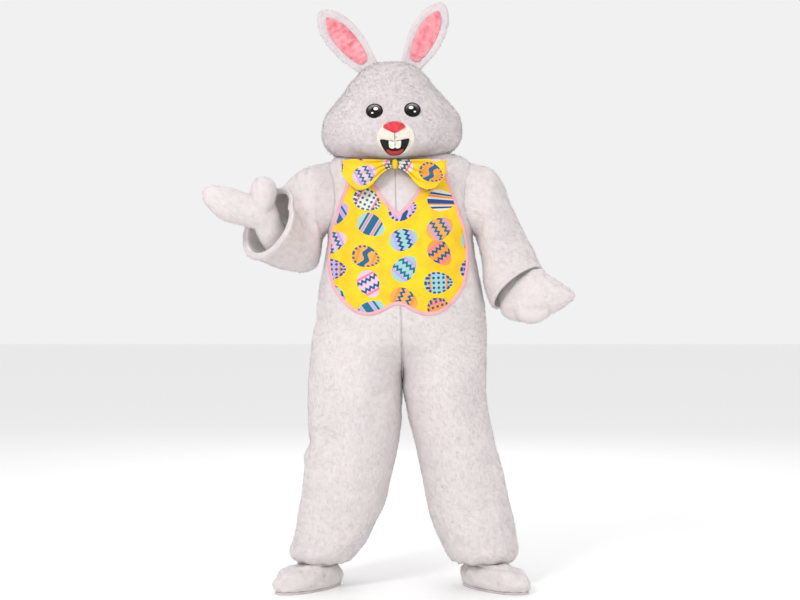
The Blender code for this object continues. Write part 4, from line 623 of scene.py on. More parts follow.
def eye_finish():
    """A glossy eye painted on its own map: black rim and pupil, a dark iris ring painted grey towards its top
    as painted light, and two white spots that are painted highlights.
    """
    finish = Finish("eye_paint", (0.01, 0.01, 0.01), Roughness=0.30, Specular_IOR_Level=0.22)
    u, v = finish.apart(finish.place("face"))
    radius = (u * u + v * v) ** 0.5
    ring = (radius > 0.46) * (radius < 0.80)
    # The ring is painted from near black below to grey at its top: painted light on a dark iris ring
    ring_painted_light = finish.ramp(v * 0.5 + 0.5, [(0.38, srgb(10, 8, 10)), (0.60, srgb(62, 56, 60)),
                                      (0.86, srgb(138, 130, 134))])
    colour = finish.mix(ring, srgb(6, 4, 6), ring_painted_light)
    # Painted highlights: two white spots, a large one above and a small one below, where lamps would glint on
    # the gloss
    for x, y, size, tone in ((0.16, 0.24, 0.20, 0.95), (-0.26, -0.30, 0.11, 0.80)):
        away_u, away_v = (u - x) / (size * 1.3), (v - y) / size
        painted_highlight = (away_u * away_u + away_v * away_v) < 1.0
        colour = finish.mix(painted_highlight, colour, (tone, tone, tone))
    finish.feed("Base Color", colour)
    return finish.material


def metal_finish():
    finish = Finish("nickel", srgb(190, 190, 194), Metallic=1.0, Roughness=0.3)
    worn = finish.noise(finish.place(), 900.0, 3.0)
    finish.feed("Roughness", worn * 0.3 + 0.18)
    return finish.material


PLUSH_SUIT = plush_finish("plush_suit", srgb(221, 213, 212), srgb(217, 208, 209), srgb(209, 200, 201))
# The head's plush is painted darker than the suit's, as painted shade in its longer pile
PLUSH_HEAD = plush_finish("plush_head", srgb(213, 204, 205), srgb(208, 198, 200), srgb(198, 188, 190),
                          0.004, 42.0)
# The tips of the pile; the head's are painted darker than the suit's, as the same painted shade
TIPS, HEAD_TIPS = (Finish(name, srgb(*tone), Roughness=0.95, Sheen_Weight=0.3, Sheen_Roughness=0.5).material
                   for name, tone in (("plush_tips", (224, 216, 215)), ("plush_tips_head", (216, 207, 208))))
BACKING = woven_finish("plush_backing", srgb(250, 246, 244), 900.0, Roughness=0.9)
SOLE = woven_finish("sole_cloth", srgb(205, 198, 196), 700.0, Roughness=0.85)
VEST_PRINT = egg_print("vest_print", "cloth")
# The bow's print carries painted shade in its pleats' valleys, read from its folds map
BOW_PRINT = egg_print("bow_print", "cloth", 1.15, "folds")
BINDING = woven_finish("pink_binding", srgb(240, 172, 182), 1200.0, Roughness=0.5, Sheen_Weight=0.2)
SATIN = cloth_finish("ear_satin", srgb(240, 154, 162), srgb(206, 104, 118), (38.0, 4.0), (0.32, 0.64),
                     (700.0, 2.0), (0.2, 0.0004), srgb(232, 140, 150), Roughness=0.42, Sheen_Weight=0.2,
                     Sheen_Roughness=0.3, Anisotropic=0.4)
EYE = eye_finish()
RED = felt_finish("red_felt", srgb(226, 58, 72), srgb(196, 36, 52), 0.35, 0.6)
CREAM = plush_finish("muzzle_cream", srgb(233, 226, 212), srgb(222, 214, 203), srgb(206, 197, 186), 0.0025,
                     70.0)
BLACK = felt_finish("black_felt", (0.008, 0.007, 0.007), (0.004, 0.003, 0.003), 0.0, 0.9)
TOOTH = felt_finish("tooth_felt", srgb(244, 240, 230), srgb(226, 220, 206), 0.1, 0.6)
LIP = felt_finish("lip_felt", srgb(196, 40, 52), srgb(150, 22, 32), 0.25, 0.55)
TAPE = woven_finish("zip_tape", srgb(228, 224, 222), 1600.0, Roughness=0.8)
COIL = felt_finish("zip_coil", srgb(214, 210, 210), srgb(180, 176, 176), 0.0, 0.4)
METAL = metal_finish()
THREAD = felt_finish("thread", srgb(120, 108, 104), srgb(96, 86, 84), 0.0, 0.8)


# Meshes

def placed(x, y, height):
    return np.array([x, y, height - SHOULDER_HEIGHT])


def bell(distance, reach):
    """1 where distance is 0, falling off softly over a reach."""
    return np.exp(-(distance / reach) ** 2)


def circle(count):
    """Angles round a ring, as a column."""
    return (2 * np.pi * np.arange(count) / count)[:, None]


def stacked(*coordinates):
    """Coordinates of any matching shapes as one array of points."""
    return np.stack(np.broadcast_arrays(*coordinates), -1)


def unit(vectors):
    return vectors / np.maximum(np.linalg.norm(vectors, axis=-1, keepdims=True), 1e-12)


def crease_depth(points):
    """How far folds and creases move points of the cloth outwards."""
    total = np.zeros(points.shape[:-1])
    for fold in FOLDS:
        x, y, height, far_x, far_y, far_height, reach, push, *sag = fold
        low = placed(x, y, height)
        run = placed(far_x, far_y, far_height) - low
        share = np.clip((points - low) @ run / (run @ run), 0, 1)
        bent = low + share[..., None] * run
        fade = 1.0
        if sag and sag[0]:
            bent[..., 2] -= 4 * sag[0] * share * (1 - share)
            fade = 0.2 + 0.8 * np.sin(np.pi * share)
        total += push * fade * bell(np.linalg.norm(points - bent, axis=-1), reach)
    return total


def lumps(points, length=LUMP_LENGTH, seed=5):
    """Smooth unevenness, about -1 to 1: waves in fixed directions."""
    random = np.random.default_rng(seed)
    total = np.zeros(points.shape[:-1])
    for _ in range(LUMP_WAVES):
        direction = unit(random.normal(size=3)) * 2 * np.pi / (length * random.uniform(0.6, 1.6))
        total += np.sin(points @ direction + random.uniform(0, 2 * np.pi))
    return total / math.sqrt(LUMP_WAVES / 2)


def uneven(points):
    return crease_depth(points) + LUMP_HEIGHT * lumps(points)


def grid_normals(grid, closed):
    """Normals of a grid of points, rows by columns, from each point's neighbours."""
    along = np.gradient(grid, axis=0)
    across = (np.roll(grid, -1, 1) - np.roll(grid, 1, 1)) if closed else np.gradient(grid, axis=1)
    return unit(np.cross(across, along))


def outward(grid, normals):
    """The normals turned so that most of them point away from the middle."""
    away = grid - grid.reshape(-1, 3).mean(0)
    return normals if (away * normals).sum() > 0 else -normals


def spline_rows(rows, steps):
    """Rows of points with smooth rows between them, steps to a stretch."""
    rows = np.asarray(rows)
    padded = np.concatenate([rows[:1], rows, rows[-1:]])
    result = []
    for k in range(len(rows) - 1):
        a, b, c, d = padded[k:k + 4]
        for step in range(steps):
            t = step / steps
            result.append(0.5 * (2 * b + (c - a) * t + (2 * a - 5 * b + 4 * c - d) * t ** 2
                                 + (3 * b - a - 3 * c + d) * t ** 3))
    return np.array(result + [rows[-1]])


def sheet_faces(rows, columns, closed, start=0):
    """Quads over a grid of vertices, row by row."""
    r, c = np.meshgrid(np.arange(rows - 1), np.arange(columns if closed else columns - 1), indexing="ij")
    ahead = (c + 1) % columns
    quads = np.stack([r * columns + c, r * columns + ahead, (r + 1) * columns + ahead,
                      (r + 1) * columns + c], -1)
    return quads.reshape(-1, 4) + start


def strip_faces(first, second, closed):
    first, second = np.asarray(first), np.asarray(second)
    count = len(first)
    k = np.arange(count if closed else count - 1)
    ahead = (k + 1) % count
    return np.stack([first[k], first[ahead], second[ahead], second[k]], -1)


def linked(name, data):
    """An object in the scene with this mesh, light or camera."""
    thing = bpy.data.objects.new(name, data)
    bpy.context.scene.collection.objects.link(thing)
    return thing


def new_piece(name, points, faces, finishes, indices=None, maps=None):
    """A mesh object, with one finish or several and each face's index, and a map in metres by vertex."""
    mesh = bpy.data.meshes.new(name)
    mesh.from_pydata(np.asarray(points).tolist(), [], [list(face) for face in faces])
    finishes = finishes if isinstance(finishes, list) else [finishes]
    for finish in finishes:
        mesh.materials.append(finish)
    if indices is not None:
        mesh.polygons.foreach_set("material_index", np.asarray(indices, np.int32))
    for layer_name, values in (maps or {}).items():
        layer = mesh.uv_layers.new(name=layer_name)
        corners = np.empty(len(mesh.loops), np.int32)
        mesh.loops.foreach_get("vertex_index", corners)
        layer.uv.foreach_set("vector", np.asarray(values, np.float32)[corners].ravel())
    work = bmesh.new()
    work.from_mesh(mesh)
    bmesh.ops.recalc_face_normals(work, faces=work.faces[:])
    work.to_mesh(mesh)
    work.free()
    mesh.shade_smooth()
    return linked(name, mesh)


def cloth_wall(name, outer, inner, closed, finishes, maps=None):
    """A wall between an outer and an inner grid: the face of the cloth outside, its backing inside."""
    rows, columns = outer.shape[:2]
    count = rows * columns
    points = np.concatenate([outer.reshape(-1, 3), inner.reshape(-1, 3)])
    index = np.arange(count).reshape(rows, columns)
    faces = [sheet_faces(rows, columns, closed), sheet_faces(rows, columns, closed, count)]
    edges = [index[0], index[-1]]
    faces += [strip_faces(edge, edge + count, closed) for edge in edges]
    if not closed:
        faces += [strip_faces(index[:, k], index[:, k] + count, False) for k in (0, -1)]
    material = np.concatenate([np.full(len(part), 1 if k == 1 else 0) for k, part in enumerate(faces)])
    if maps is not None:
        maps = {layer: np.concatenate([values.reshape(-1, 2)] * 2) for layer, values in maps.items()}
    return new_piece(name, points, np.concatenate(faces), finishes, material, maps)


def tube_body(name, grid, finish, maps=None, looped=False):
    """A closed body of rings, capped at both ends, or joined end to end when looped."""
    rows, columns = grid.shape[:2]
    first = np.arange(columns)
    last = first + (rows - 1) * columns
    faces = sheet_faces(rows, columns, True).tolist()
    faces += strip_faces(first, last, True).tolist() if looped else [first.tolist(), last.tolist()]
    return new_piece(name, grid.reshape(-1, 3), faces, finish, None, maps)


def mesh_arrays(piece):
    """A mesh's points, normals, triangles' corners and each triangle's finish."""
    mesh = piece.data
    mesh.calc_loop_triangles()

    def read(items, field, size, kind=float):
        values = np.empty(len(items) * size, kind)
        items.foreach_get(field, values)
        return values.reshape(-1, size) if size > 1 else values

    material = read(mesh.polygons, "material_index", 1, np.int32)
    return (read(mesh.vertices, "co", 3), read(mesh.vertices, "normal", 3),
            read(mesh.loop_triangles, "vertices", 3, np.int32),
            material[read(mesh.loop_triangles, "polygon_index", 1, np.int32)])


PILE_PER_AREA = 34000
PILE_DROOP, PILE_SCATTER = 0.75, 0.34           # how far tufts lean down, and at random
PILE_ROOT = 0.0008                              # how deep a tuft starts under the face
COVER_ABOVE, COVER_NEAR = 0.014, 0.005          # a tuft is left out under a piece this close


def add_pile(piece, length, width, seed, covers, tips, axis=None):
    """Tufts of pile over a piece's face: small closed spikes that lean down, left out under what covers it.

    With an axis, only the half that faces away from it gets pile.
    """
    points, normals, corners, material = mesh_arrays(piece)
    corners = corners[material == 0]
    a, b, c = (points[corners[:, k]] for k in range(3))
    area = np.linalg.norm(np.cross(b - a, c - a), axis=1) / 2
    random = np.random.default_rng(seed)
    count = int(area.sum() * PILE_PER_AREA)
    chosen = random.choice(len(area), count, p=area / area.sum())
    s, t = np.sqrt(random.uniform(size=count)), random.uniform(size=count)
    weights = np.stack([1 - s, s * (1 - t), s * t], -1)
    root = np.einsum("nk,nkd->nd", weights, points[corners[chosen]])
    normal = unit(np.einsum("nk,nkd->nd", weights, normals[corners[chosen]]))
    kept = np.array([covers.ray_cast(Vector(p), Vector(n), COVER_ABOVE)[0] is None
                     and covers.find_nearest(Vector(p), COVER_NEAR)[0] is None for p, n in zip(root, normal)])
    root, normal = root[kept], normal[kept]
    if axis is not None:
        kept = ((root - np.array(axis)) * normal)[:, :2].sum(1) > 0
        root, normal = root[kept], normal[kept]
    count = len(root)
    down = np.array([0.0, 0.0, -1.0]) + normal * normal[:, 2:3]
    lean = normal + PILE_DROOP * down + random.normal(size=(count, 3)) * PILE_SCATTER
    lean = unit(lean) * (length * random.uniform(0.65, 1.15, size=(count, 1)))
    side = unit(np.cross(normal, lean)) * width / 2
    rise = unit(np.cross(lean, side)) * width / 2
    sunk = root - normal * PILE_ROOT
    ring = [side, -0.5 * side + 0.87 * rise, -0.5 * side - 0.87 * rise]
    tufts = np.stack([sunk + edge for edge in ring] + [sunk + lean], 1)
    base = np.arange(count)[:, None] * 4
    faces = np.concatenate([base + np.array(f) for f in ((0, 1, 3), (1, 2, 3), (2, 0, 3), (0, 2, 1))])
    mesh = bpy.data.meshes.new(f"{piece.name}_pile")
    mesh.from_pydata(tufts.reshape(-1, 3).tolist(), [], faces.tolist())
    mesh.materials.append(tips)
    mesh.shade_smooth()
    mesh.normals_split_custom_set_from_vertices(np.repeat(normal, 4, axis=0).tolist())
    return settled(linked(mesh.name, mesh), "plush")


def settled(piece, slot, *nodes):
    """Rides the piece on the costume's body and stands it for its CAD nodes, hiding them; its slot is not used.
    """
    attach(piece, "root")
    if nodes:
        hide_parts(*nodes)
    return piece


# Jumpsuit

def suit(side, face, share, height):
    """Outer surface of the jumpsuit: share runs from the centre or inseam (0) to the side seam (1)."""
    height = np.asarray(height, float)
    edge = side * SIDE.at(NAMES[side], height)
    deep = face * DEPTH.at(WORDS[face], height)
    turn = np.pi / 2 * (1 - share)
    centre = CENTRE.at("x", np.maximum(height, LEGS_END))
    x = centre + (edge - centre) * np.cos(turn)
    y = deep * np.sin(turn)
    split = np.where(height >= TRUNK_START, 0.0,
                     np.where(height > LEGS_END, np.minimum(SPLIT.at("split", height), 1.0), 1.0))
    inseam = side * INSEAM.at(NAMES[side], height)
    leg_x = (inseam + edge) / 2 + (edge - inseam) / 2 * np.cos(2 * turn)
    x = x + (leg_x - x) * split
    y = y + (deep * np.sin(2 * turn) - y) * split
    return stacked(x, y, height - SHOULDER_HEIGHT)


def suit_normal(side, face, share, height):
    across = suit(side, face, share + NEAR, height) - suit(side, face, share - NEAR, height)
    upwards = suit(side, face, share, height + NEAR) - suit(side, face, share, height - NEAR)
    return unit(np.cross(across, upwards) * -side * face)


def hem_gathers(side, face, share, height):
    """Small gathers over the elastic at the trouser hem."""
    near_hem = bell(height - HEM_HEIGHT, HEM_GATHER_REACH)
    phase = 0.5 * side + 0.8 * np.sin(9.0 * share + 2.0 * face)
    away = np.sin(np.pi * np.clip(share, 0, 1)) ** 0.6
    return HEM_GATHER_DEPTH * near_hem * away * np.sin(HEM_GATHERS * np.pi / 2 * share + phase)


def suit_point(side, face, share, height, proud, dip=0.0):
    base = suit(side, face, share, height)
    push = uneven(base) + proud - dip + hem_gathers(side, face, share, height)
    return base + suit_normal(side, face, share, height) * push[..., None]


def share_of(distance, side, height):
    return distance / (np.pi / 2 * SIDE.at(NAMES[side], height))


def panel_rows():
    low, high = ARMHOLE_HEIGHT - ARMHOLE_RADIUS, ARMHOLE_HEIGHT + ARMHOLE_RADIUS
    legs = np.linspace(HEM_HEIGHT, low, int((low - HEM_HEIGHT) / ROW_STEP), endpoint=False)
    turns = np.pi * np.arange(ARMHOLE_STEPS + 1) / ARMHOLE_STEPS
    heights = np.concatenate([legs, ARMHOLE_HEIGHT - ARMHOLE_RADIUS * np.cos(turns),
                              SHOULDER_ROWS])
    edges = np.concatenate([np.ones(len(legs)), 1 - ARMHOLE_REACH * np.sin(turns),
                            np.ones(len(SHOULDER_ROWS))])
    return heights, edges


def panel_grid(side, face, proud):
    heights, edges = panel_rows()
    zipped = (face == BACK) & (heights > ZIP_LOW)
    start = np.where(zipped, share_of(ZIP_SLOT, side, heights), share_of(SEAM / 2, side, heights))
    stop = edges - np.where(edges > AT_SIDE, share_of(SEAM / 2, side, heights), 0.0)
    k = np.arange(PANEL_COLUMNS + 1) / PANEL_COLUMNS
    k = k - COLUMN_CROWD * np.sin(2 * np.pi * k) / (2 * np.pi)
    shares = start[:, None] + (stop - start)[:, None] * k
    tall = np.repeat(heights[:, None], len(k), 1)
    width = np.pi / 2 * SIDE.at(NAMES[side], tall)
    sewn = np.where(edges > AT_SIDE, 1.0, ARMHOLE_DIP)[:, None]
    dip = SEAM_DIP * (bell((shares - start[:, None]) * width, SEAM_REACH)
                      + sewn * bell((stop[:, None] - shares) * width, SEAM_REACH))
    return suit_point(side, face, shares, tall, proud, dip)


def armhole_rows():
    heights, edges = panel_rows()
    on_ring = np.abs(heights - ARMHOLE_HEIGHT) < ARMHOLE_RADIUS + NEAR
    return heights[on_ring], edges[on_ring]


def round_armhole(read, side, inside=0.0, *more):
    """A function of the suit's surface, up the front of an armhole and down its back."""
    heights, edges = armhole_rows()
    edges = edges - inside
    return np.concatenate([read(side, FRONT, edges, heights, *more),
                           read(side, BACK, edges[-2:0:-1], heights[-2:0:-1], *more)])


def armhole_ring(side):
    return round_armhole(suit_point, side, 0.0, 0.0, ARMHOLE_DIP * SEAM_DIP) + np.array([side * 2 * SEAM, 0, 0])


def ring_points(side, ring, columns, nudge=(0, 0, 0)):
    """An oval ring from its highest and lowest point, its half width and its turn in degrees."""
    out, y, height, low_out, low_y, low_height, wide, turn = ring
    top = placed(side * (out + nudge[0]), y + nudge[1], height + nudge[2])
    bottom = placed(side * (low_out + nudge[0]), low_y + nudge[1], low_height + nudge[2])
    centre, half = (top + bottom) / 2, (top - bottom) / 2
    turn = math.radians(turn)
    forward = np.array([-side * math.sin(turn), -math.cos(turn), 0.0]) * wide
    t = circle(columns)
    return centre + forward * np.sin(t) - half * np.cos(t)


def sleeve_grids(side):
    columns = 2 * ARMHOLE_STEPS
    rows = [armhole_ring(side)] + [ring_points(side, ring, columns) for ring in SLEEVE_RINGS[side]]
    grid = spline_rows(rows, SLEEVE_ROW_STEPS)
    normals = outward(grid, grid_normals(grid, True))
    row = np.arange(len(grid))[:, None]
    fade = np.clip(row / ARMHOLE_FADE, 0, 1)
    hem = bell(len(grid) - CUFF_FROM_END - row, CUFF_ROWS)
    roll_out, roll_in = CUFF_ROLL[side]
    middle = grid + normals * (uneven(grid) * fade)[..., None]
    outer = middle + normals * (hem * roll_out)[..., None]
    return outer, middle - normals * (PLUSH + hem * roll_in)[..., None]


def seam_roll(name, line, out, kind):
    """The pile that closes over a sewn seam: a soft roll along it, sunk into the cloth."""
    looped, finish = kind == "armhole", PLUSH_HEAD if kind == "head" else PLUSH_SUIT
    sunk, radius = out * ROLLS[kind][0], ROLLS[kind][1]
    run = unit(np.roll(line, -1, 0) - np.roll(line, 1, 0) if looped else np.gradient(line, axis=0))
    out = unit(sunk)
    across = unit(np.cross(run, out))
    turn = circle(ROLL_SIDES)[None]
    grid = line[:, None] - sunk[:, None] + radius * (across[:, None] * np.cos(turn) * ROLL_FLAT
                                                     + out[:, None] * np.sin(turn))
    return tube_body(name, grid, finish, None, looped)


def between(panels, share, heights, proud, dip=0.0):
    """Points midway between the edges of two panels, each given by its side and face."""
    shares = np.full(len(heights), share)
    first, second = (suit_point(*panel, shares, heights, proud, dip) for panel in panels)
    return (first + second) / 2


def straight_roll(name, panels, share, heights, away):
    line = between(panels, share, heights, 0.0, SEAM_DIP)
    return seam_roll(name, line, np.tile(away, (len(line), 1)), "straight")


def make_seams():
    """Rolls at the armholes, sides, inseams and centre front."""
    made = []
    for side in (RIGHT, LEFT):
        out = round_armhole(suit_normal, side, ROLL_INSIDE)
        made.append(seam_roll(f"armhole_{NAMES[side]}", armhole_ring(side), out, "armhole"))
        panels = ((side, FRONT), (side, BACK))
        for name, at, low, high in (("side", 1.0, 0.100, 1.262), ("inseam", 0.0, 0.100, 0.690)):
            heights = np.linspace(low, high, int((high - low) / ROLL_STEP))
            away = (side if at else -side, 0, 0)
            made.append(straight_roll(f"{name}_{NAMES[side]}", panels, at, heights, away))
    made.append(straight_roll("centre_front", ((RIGHT, FRONT), (LEFT, FRONT)), 0.0,
                              np.linspace(0.730, 1.300, 72), (0, -1, 0)))
    return [settled(roll, "plush") for roll in made]


def make_suit():
    made = {}
    for side in (RIGHT, LEFT):
        grids = {f"{WORDS[face]}_{NAMES[side]}":
                 (panel_grid(side, face, 0.0), panel_grid(side, face, -PLUSH), False) for face in (FRONT, BACK)}
        grids[f"sleeve_{NAMES[side]}"] = (*sleeve_grids(side), True)
        for name, wall in grids.items():
            made[name] = settled(cloth_wall(f"{name}_plush", *wall, [PLUSH_SUIT, BACKING]), "plush", name)
    return made


# Vest

def front_point(x, height, proud):
    """The front of the jumpsuit, moved out, at a place seen from the front."""
    x, height = np.asarray(x, float), np.asarray(height, float)
    centre = CENTRE.at("x", height)
    result = np.zeros(x.shape + (3,))
    for side in (RIGHT, LEFT):
        edge = side * SIDE.at(NAMES[side], height)
        share = 1 - np.arccos(np.clip((x - centre) / (edge - centre), 0, 1)) * 2 / np.pi
        mask = (x - centre) * side >= 0
        result = np.where(mask[..., None], suit_point(side, FRONT, share, height, proud), result)
    return result


def smooth_outline(points, steps):
    """A smooth line through a table's points, closer together."""
    return spline_rows(np.array(points, float), steps)


def vest_grid(side, proud):
    """One half of the vest, row by row between its inner and outer edge, drawn in from its outline."""
    neck, outer = smooth_outline(VEST_NECK, 8), smooth_outline(VEST_SIDE, 8)
    hem = smooth_outline(VEST_HEM[::-1] + VEST_SIDE[-1:], 8)
    low, high = outer[-1, 1] + VEST_IN, neck[-1, 1] - VEST_IN
    heights = low + (high - low) * np.linspace(0, 1, 110)
    heights = np.concatenate([[low, low + 0.0006, low + 0.002], heights[1:]])
    out = np.interp(heights, outer[::-1, 1], outer[::-1, 0]) - VEST_IN
    inner = np.zeros(len(heights))
    by_neck = heights > neck[0, 1] + VEST_IN
    inner[by_neck] = np.interp(heights[by_neck], neck[:, 1], neck[:, 0]) + VEST_IN * 1.3
    by_hem = heights < hem[0, 1] + VEST_IN
    inner[by_hem] = np.interp(heights[by_hem] - VEST_IN, hem[::-1, 1], hem[::-1, 0])
    inner = np.minimum(inner, out - 0.0002)
    x = VEST_MIDDLE + side * (inner[:, None] + (out - inner)[:, None] * np.linspace(0, 1, 30))
    tall = np.repeat(heights[:, None], x.shape[1], 1)
    return front_point(x, tall, proud), np.stack([x, tall], -1)


def whole_outline(half, middle=0.0):
    half = np.asarray(half)
    other = half[-2:0:-1] * np.array([-1, 1])
    return np.concatenate([half, other]) + np.array([middle, 0])


def make_vest():
    points, faces, flat, index = [], [], [], []
    for layer, proud in enumerate((LAID + VEST_CLOTH, LAID)):
        for side in (RIGHT, LEFT):
            grid, where = vest_grid(side, proud)
            faces.append(sheet_faces(*grid.shape[:2], False, sum(map(len, points))))
            points.append(grid.reshape(-1, 3))
            flat.append(where.reshape(-1, 2))
            index.append(np.full(len(faces[-1]), layer))
    piece = new_piece("vest_cloth", np.concatenate(points), np.concatenate(faces), [VEST_PRINT, BACKING],
                      np.concatenate(index), {"cloth": np.concatenate(flat)})
    work = bmesh.new()
    work.from_mesh(piece.data)
    bmesh.ops.remove_doubles(work, verts=work.verts, dist=0.0001)
    bmesh.ops.dissolve_degenerate(work, edges=work.edges[:], dist=0.00005)
    bmesh.ops.bridge_loops(work, edges=[e for e in work.edges if e.is_boundary])
    bmesh.ops.recalc_face_normals(work, faces=work.faces[:])
    work.to_mesh(piece.data)
    work.free()
    settled(piece, "vest_print", "vest_front")

    outline = whole_outline(np.concatenate([smooth_outline(VEST_NECK, 10)[:-1],
                                            smooth_outline(VEST_NECK[-1:] + VEST_SIDE[:1], 4)[:-1],
                                            smooth_outline(VEST_SIDE + VEST_HEM, 8)]), VEST_MIDDLE)
    run = unit(np.roll(outline, -1, 0) - np.roll(outline, 1, 0))
    inwards = np.stack([run[:, 1], -run[:, 0]], -1)
    if ((outline.mean(0) - outline) * inwards).sum() < 0:
        inwards = -inwards
    section = []
    for turn in circle(BINDING_SIDES)[:, 0]:
        at = outline + inwards * BINDING_WIDTH * (0.5 - 0.5 * math.cos(turn))
        proud = LAID + 0.0003 + BINDING_CLOTH * (0.5 + 0.5 * math.sin(turn)) * 0.94
        section.append(front_point(at[:, 0], at[:, 1], proud))
    band = tube_body("vest_binding_tape", np.stack(section, 1), BINDING, looped=True)
    return piece, settled(band, "binding", "vest_binding")


# Bow

def bow_loop(side):
    """The loop's cloth as outer and inner grids, pleated into the knot."""
    start = KNOT_HALF - KNOT_TUCK
    length = BOW_LENGTH[side]
    half = (BOW_BACK - BOW_FRONT) / 2
    bend = length - half
    outs = start + (bend - start) * np.linspace(0, 1, BOW_COLUMNS)
    turns = np.pi * np.arange(1, BOW_TURNS) / BOW_TURNS
    out = np.concatenate([outs, bend + half * np.sin(turns), outs[::-1]])
    y = np.concatenate([np.full(BOW_COLUMNS, -half), -half * np.cos(turns), np.full(BOW_COLUMNS, half)])
    flat = np.stack([out, y], -1)
    run = unit(np.gradient(flat, axis=0))
    levels = np.linspace(0, 1, BOW_ROWS)[:, None]
    reach = np.minimum(out / length, 1.0) * BOW_WING.keys[-1]
    pinch = 1.0 - BOW_PINCH * np.maximum(0.0, 1.0 - (out - start) / BOW_PINCH_REACH)
    low = BOW_AT[1] - BOW_WING.at("under", reach)
    high = BOW_AT[1] + BOW_WING.at("over", reach)
    tall = low + (high - low) * levels
    away = np.clip((out - start) / (length - start), 0, 1)
    pleats = BOW_PLEAT_DEPTH * bell(away, BOW_PLEAT_REACH) * np.sin(np.clip(away * 6, 0, 1) * np.pi / 2)
    wave = np.abs(np.sin(np.pi * (levels * BOW_PLEATS + 0.35)))
    fan = (1.7 * wave ** 0.7 - 1.0) * pleats
    belly = BOW_BELLY * np.sin(np.pi * levels) * np.sin(np.pi * away)
    grids = []
    for shrink in (0.0, BOW_CLOTH):
        depth = (BOW_FRONT + BOW_BACK) / 2 + (y + run[:, 0] * shrink) * pinch
        depth = depth - np.sign(-y) * (fan * 0.8 + belly)
        x = BOW_AT[0] + side * (out - run[:, 1] * shrink)
        grids.append(stacked(x, depth, tall - SHOULDER_HEIGHT))
    along = np.concatenate([[0], np.cumsum(np.linalg.norm(np.diff(flat, axis=0), axis=1))])
    flat_map = stacked(along * side, tall)
    # The folds map: painted shade, strongest in the pleats' recessed valleys near the knot
    folded = bell(wave, 0.42) * bell(away, BOW_PLEAT_REACH)
    return grids[0], grids[1], {"cloth": flat_map, "folds": stacked(folded, 0.0)}


def make_bow():
    made = []
    for side in (RIGHT, LEFT):
        outer, inner, maps = bow_loop(side)
        piece = cloth_wall(f"bow_cloth_{NAMES[side]}", outer, inner, False, [BOW_PRINT, BOW_PRINT], maps)
        made.append(settled(piece, "bow_print", f"bow_loop_{NAMES[side]}"))
    low, high = (np.array(corner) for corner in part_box("bow_knot"))
    lean = (np.pi * np.arange(1, KNOT_RINGS) / KNOT_RINGS - np.pi / 2)[:, None]
    t = circle(KNOT_COLUMNS).T
    wrap = np.cos(lean) ** 0.55 * (1.0 + 0.05 * np.sin(12 * np.sin(lean) + 2.0 * np.cos(t))) * KNOT_IN
    ball = stacked(wrap * np.cos(t), wrap * np.sin(t), np.sin(lean))
    grid = (low + high) / 2 + ball * (high - low) / 2
    flat = grid[..., [0, 2]].reshape(-1, 2)
    # The knot gets an empty folds map: no painted shade on it
    knot = tube_body("bow_knot_cloth", grid, BOW_PRINT, {"cloth": flat, "folds": 0 * flat})
    return made + [settled(knot, "bow_print", "bow_knot")]


# Head

def turned_head(points):
    """From the head's upright frame, with heights above the floor, to the part's."""
    yaw, roll = math.radians(HEAD_YAW), math.radians(HEAD_ROLL)
    about_z = np.array([[math.cos(yaw), -math.sin(yaw), 0], [math.sin(yaw), math.cos(yaw), 0], [0, 0, 1]])
    about_y = np.array([[math.cos(roll), 0, math.sin(roll)], [0, 1, 0], [-math.sin(roll), 0, math.cos(roll)]])
    low = points - np.array([0, 0, HEAD_PIVOT])
    return low @ (about_z @ about_y).T + np.array([*HEAD_PLACE, HEAD_PIVOT - SHOULDER_HEIGHT])


def head_rim(face, turn):
    """Height of the head's lower edge."""
    return HEAD_RIM[face] + (HEAD_RIM_SIDE - HEAD_RIM[face]) * np.sin(turn) ** 2


def head(face, turn, level):
    """The head's outer surface: turn runs round it from the middle, level from its lower edge to its top."""
    rim = head_rim(face, turn)
    height = rim + (HEAD_TOP - rim) * level
    y = face * HEAD.at(WORDS[face], height) * np.cos(turn)
    x = HEAD.at("wide", height) * np.sin(turn)
    if face == FRONT:
        away = np.hypot(x - MUZZLE_AT[0], height - MUZZLE_AT[1])
        y = y - MUZZLE_PUSH * bell(away, MUZZLE_REACH)
    return stacked(x, y, height)


def head_normal(face, turn, level):
    across = head(face, turn + NEAR, level) - head(face, turn - NEAR, level)
    upwards = head(face, turn, np.minimum(level + NEAR, 1.0)) - head(face, turn, level - NEAR)
    normal = np.cross(across, upwards) * -face
    flat = np.stack([normal[..., 0], np.zeros_like(normal[..., 1]), np.abs(normal[..., 2])], -1)
    return unit(np.where((level >= 1.0)[..., None], flat, normal))


def head_grid(face, proud):
    turns = np.pi / 2 * np.linspace(-1, 1, HEAD_COLUMNS + 1)
    share = np.linspace(0, 1, HEAD_ROWS + 1)
    levels = 1 - (1 - share) ** 1.35
    turn, level = np.meshgrid(turns, levels)
    base = head(face, turn, level)
    dip = SEAM_DIP * bell(HEAD.at("wide", base[..., 2]) * (np.pi / 2 - np.abs(turn)), SEAM_REACH)
    push = proud - dip + HEAD_LUMPS * lumps(base, 0.09, 8) * np.clip((1 - level) * 8, 0, 1)
    moved = base + head_normal(face, turn, level) * push[..., None]
    return turned_head(moved + np.array([0, face * SEAM / 2, 0]))


def face_point(x, height, proud, pads=0.0):
    """The face at a place seen from the front, in the head's upright frame, moved out."""
    turn = np.arcsin(np.clip(x / HEAD.at("wide", height), -1, 1))
    rim = head_rim(FRONT, turn)
    level = (height - rim) / (HEAD_TOP - rim)
    base = head(FRONT, turn, level)
    return base + head_normal(FRONT, turn, level) * np.asarray(proud + pads * pad_rise(x, height))[..., None]


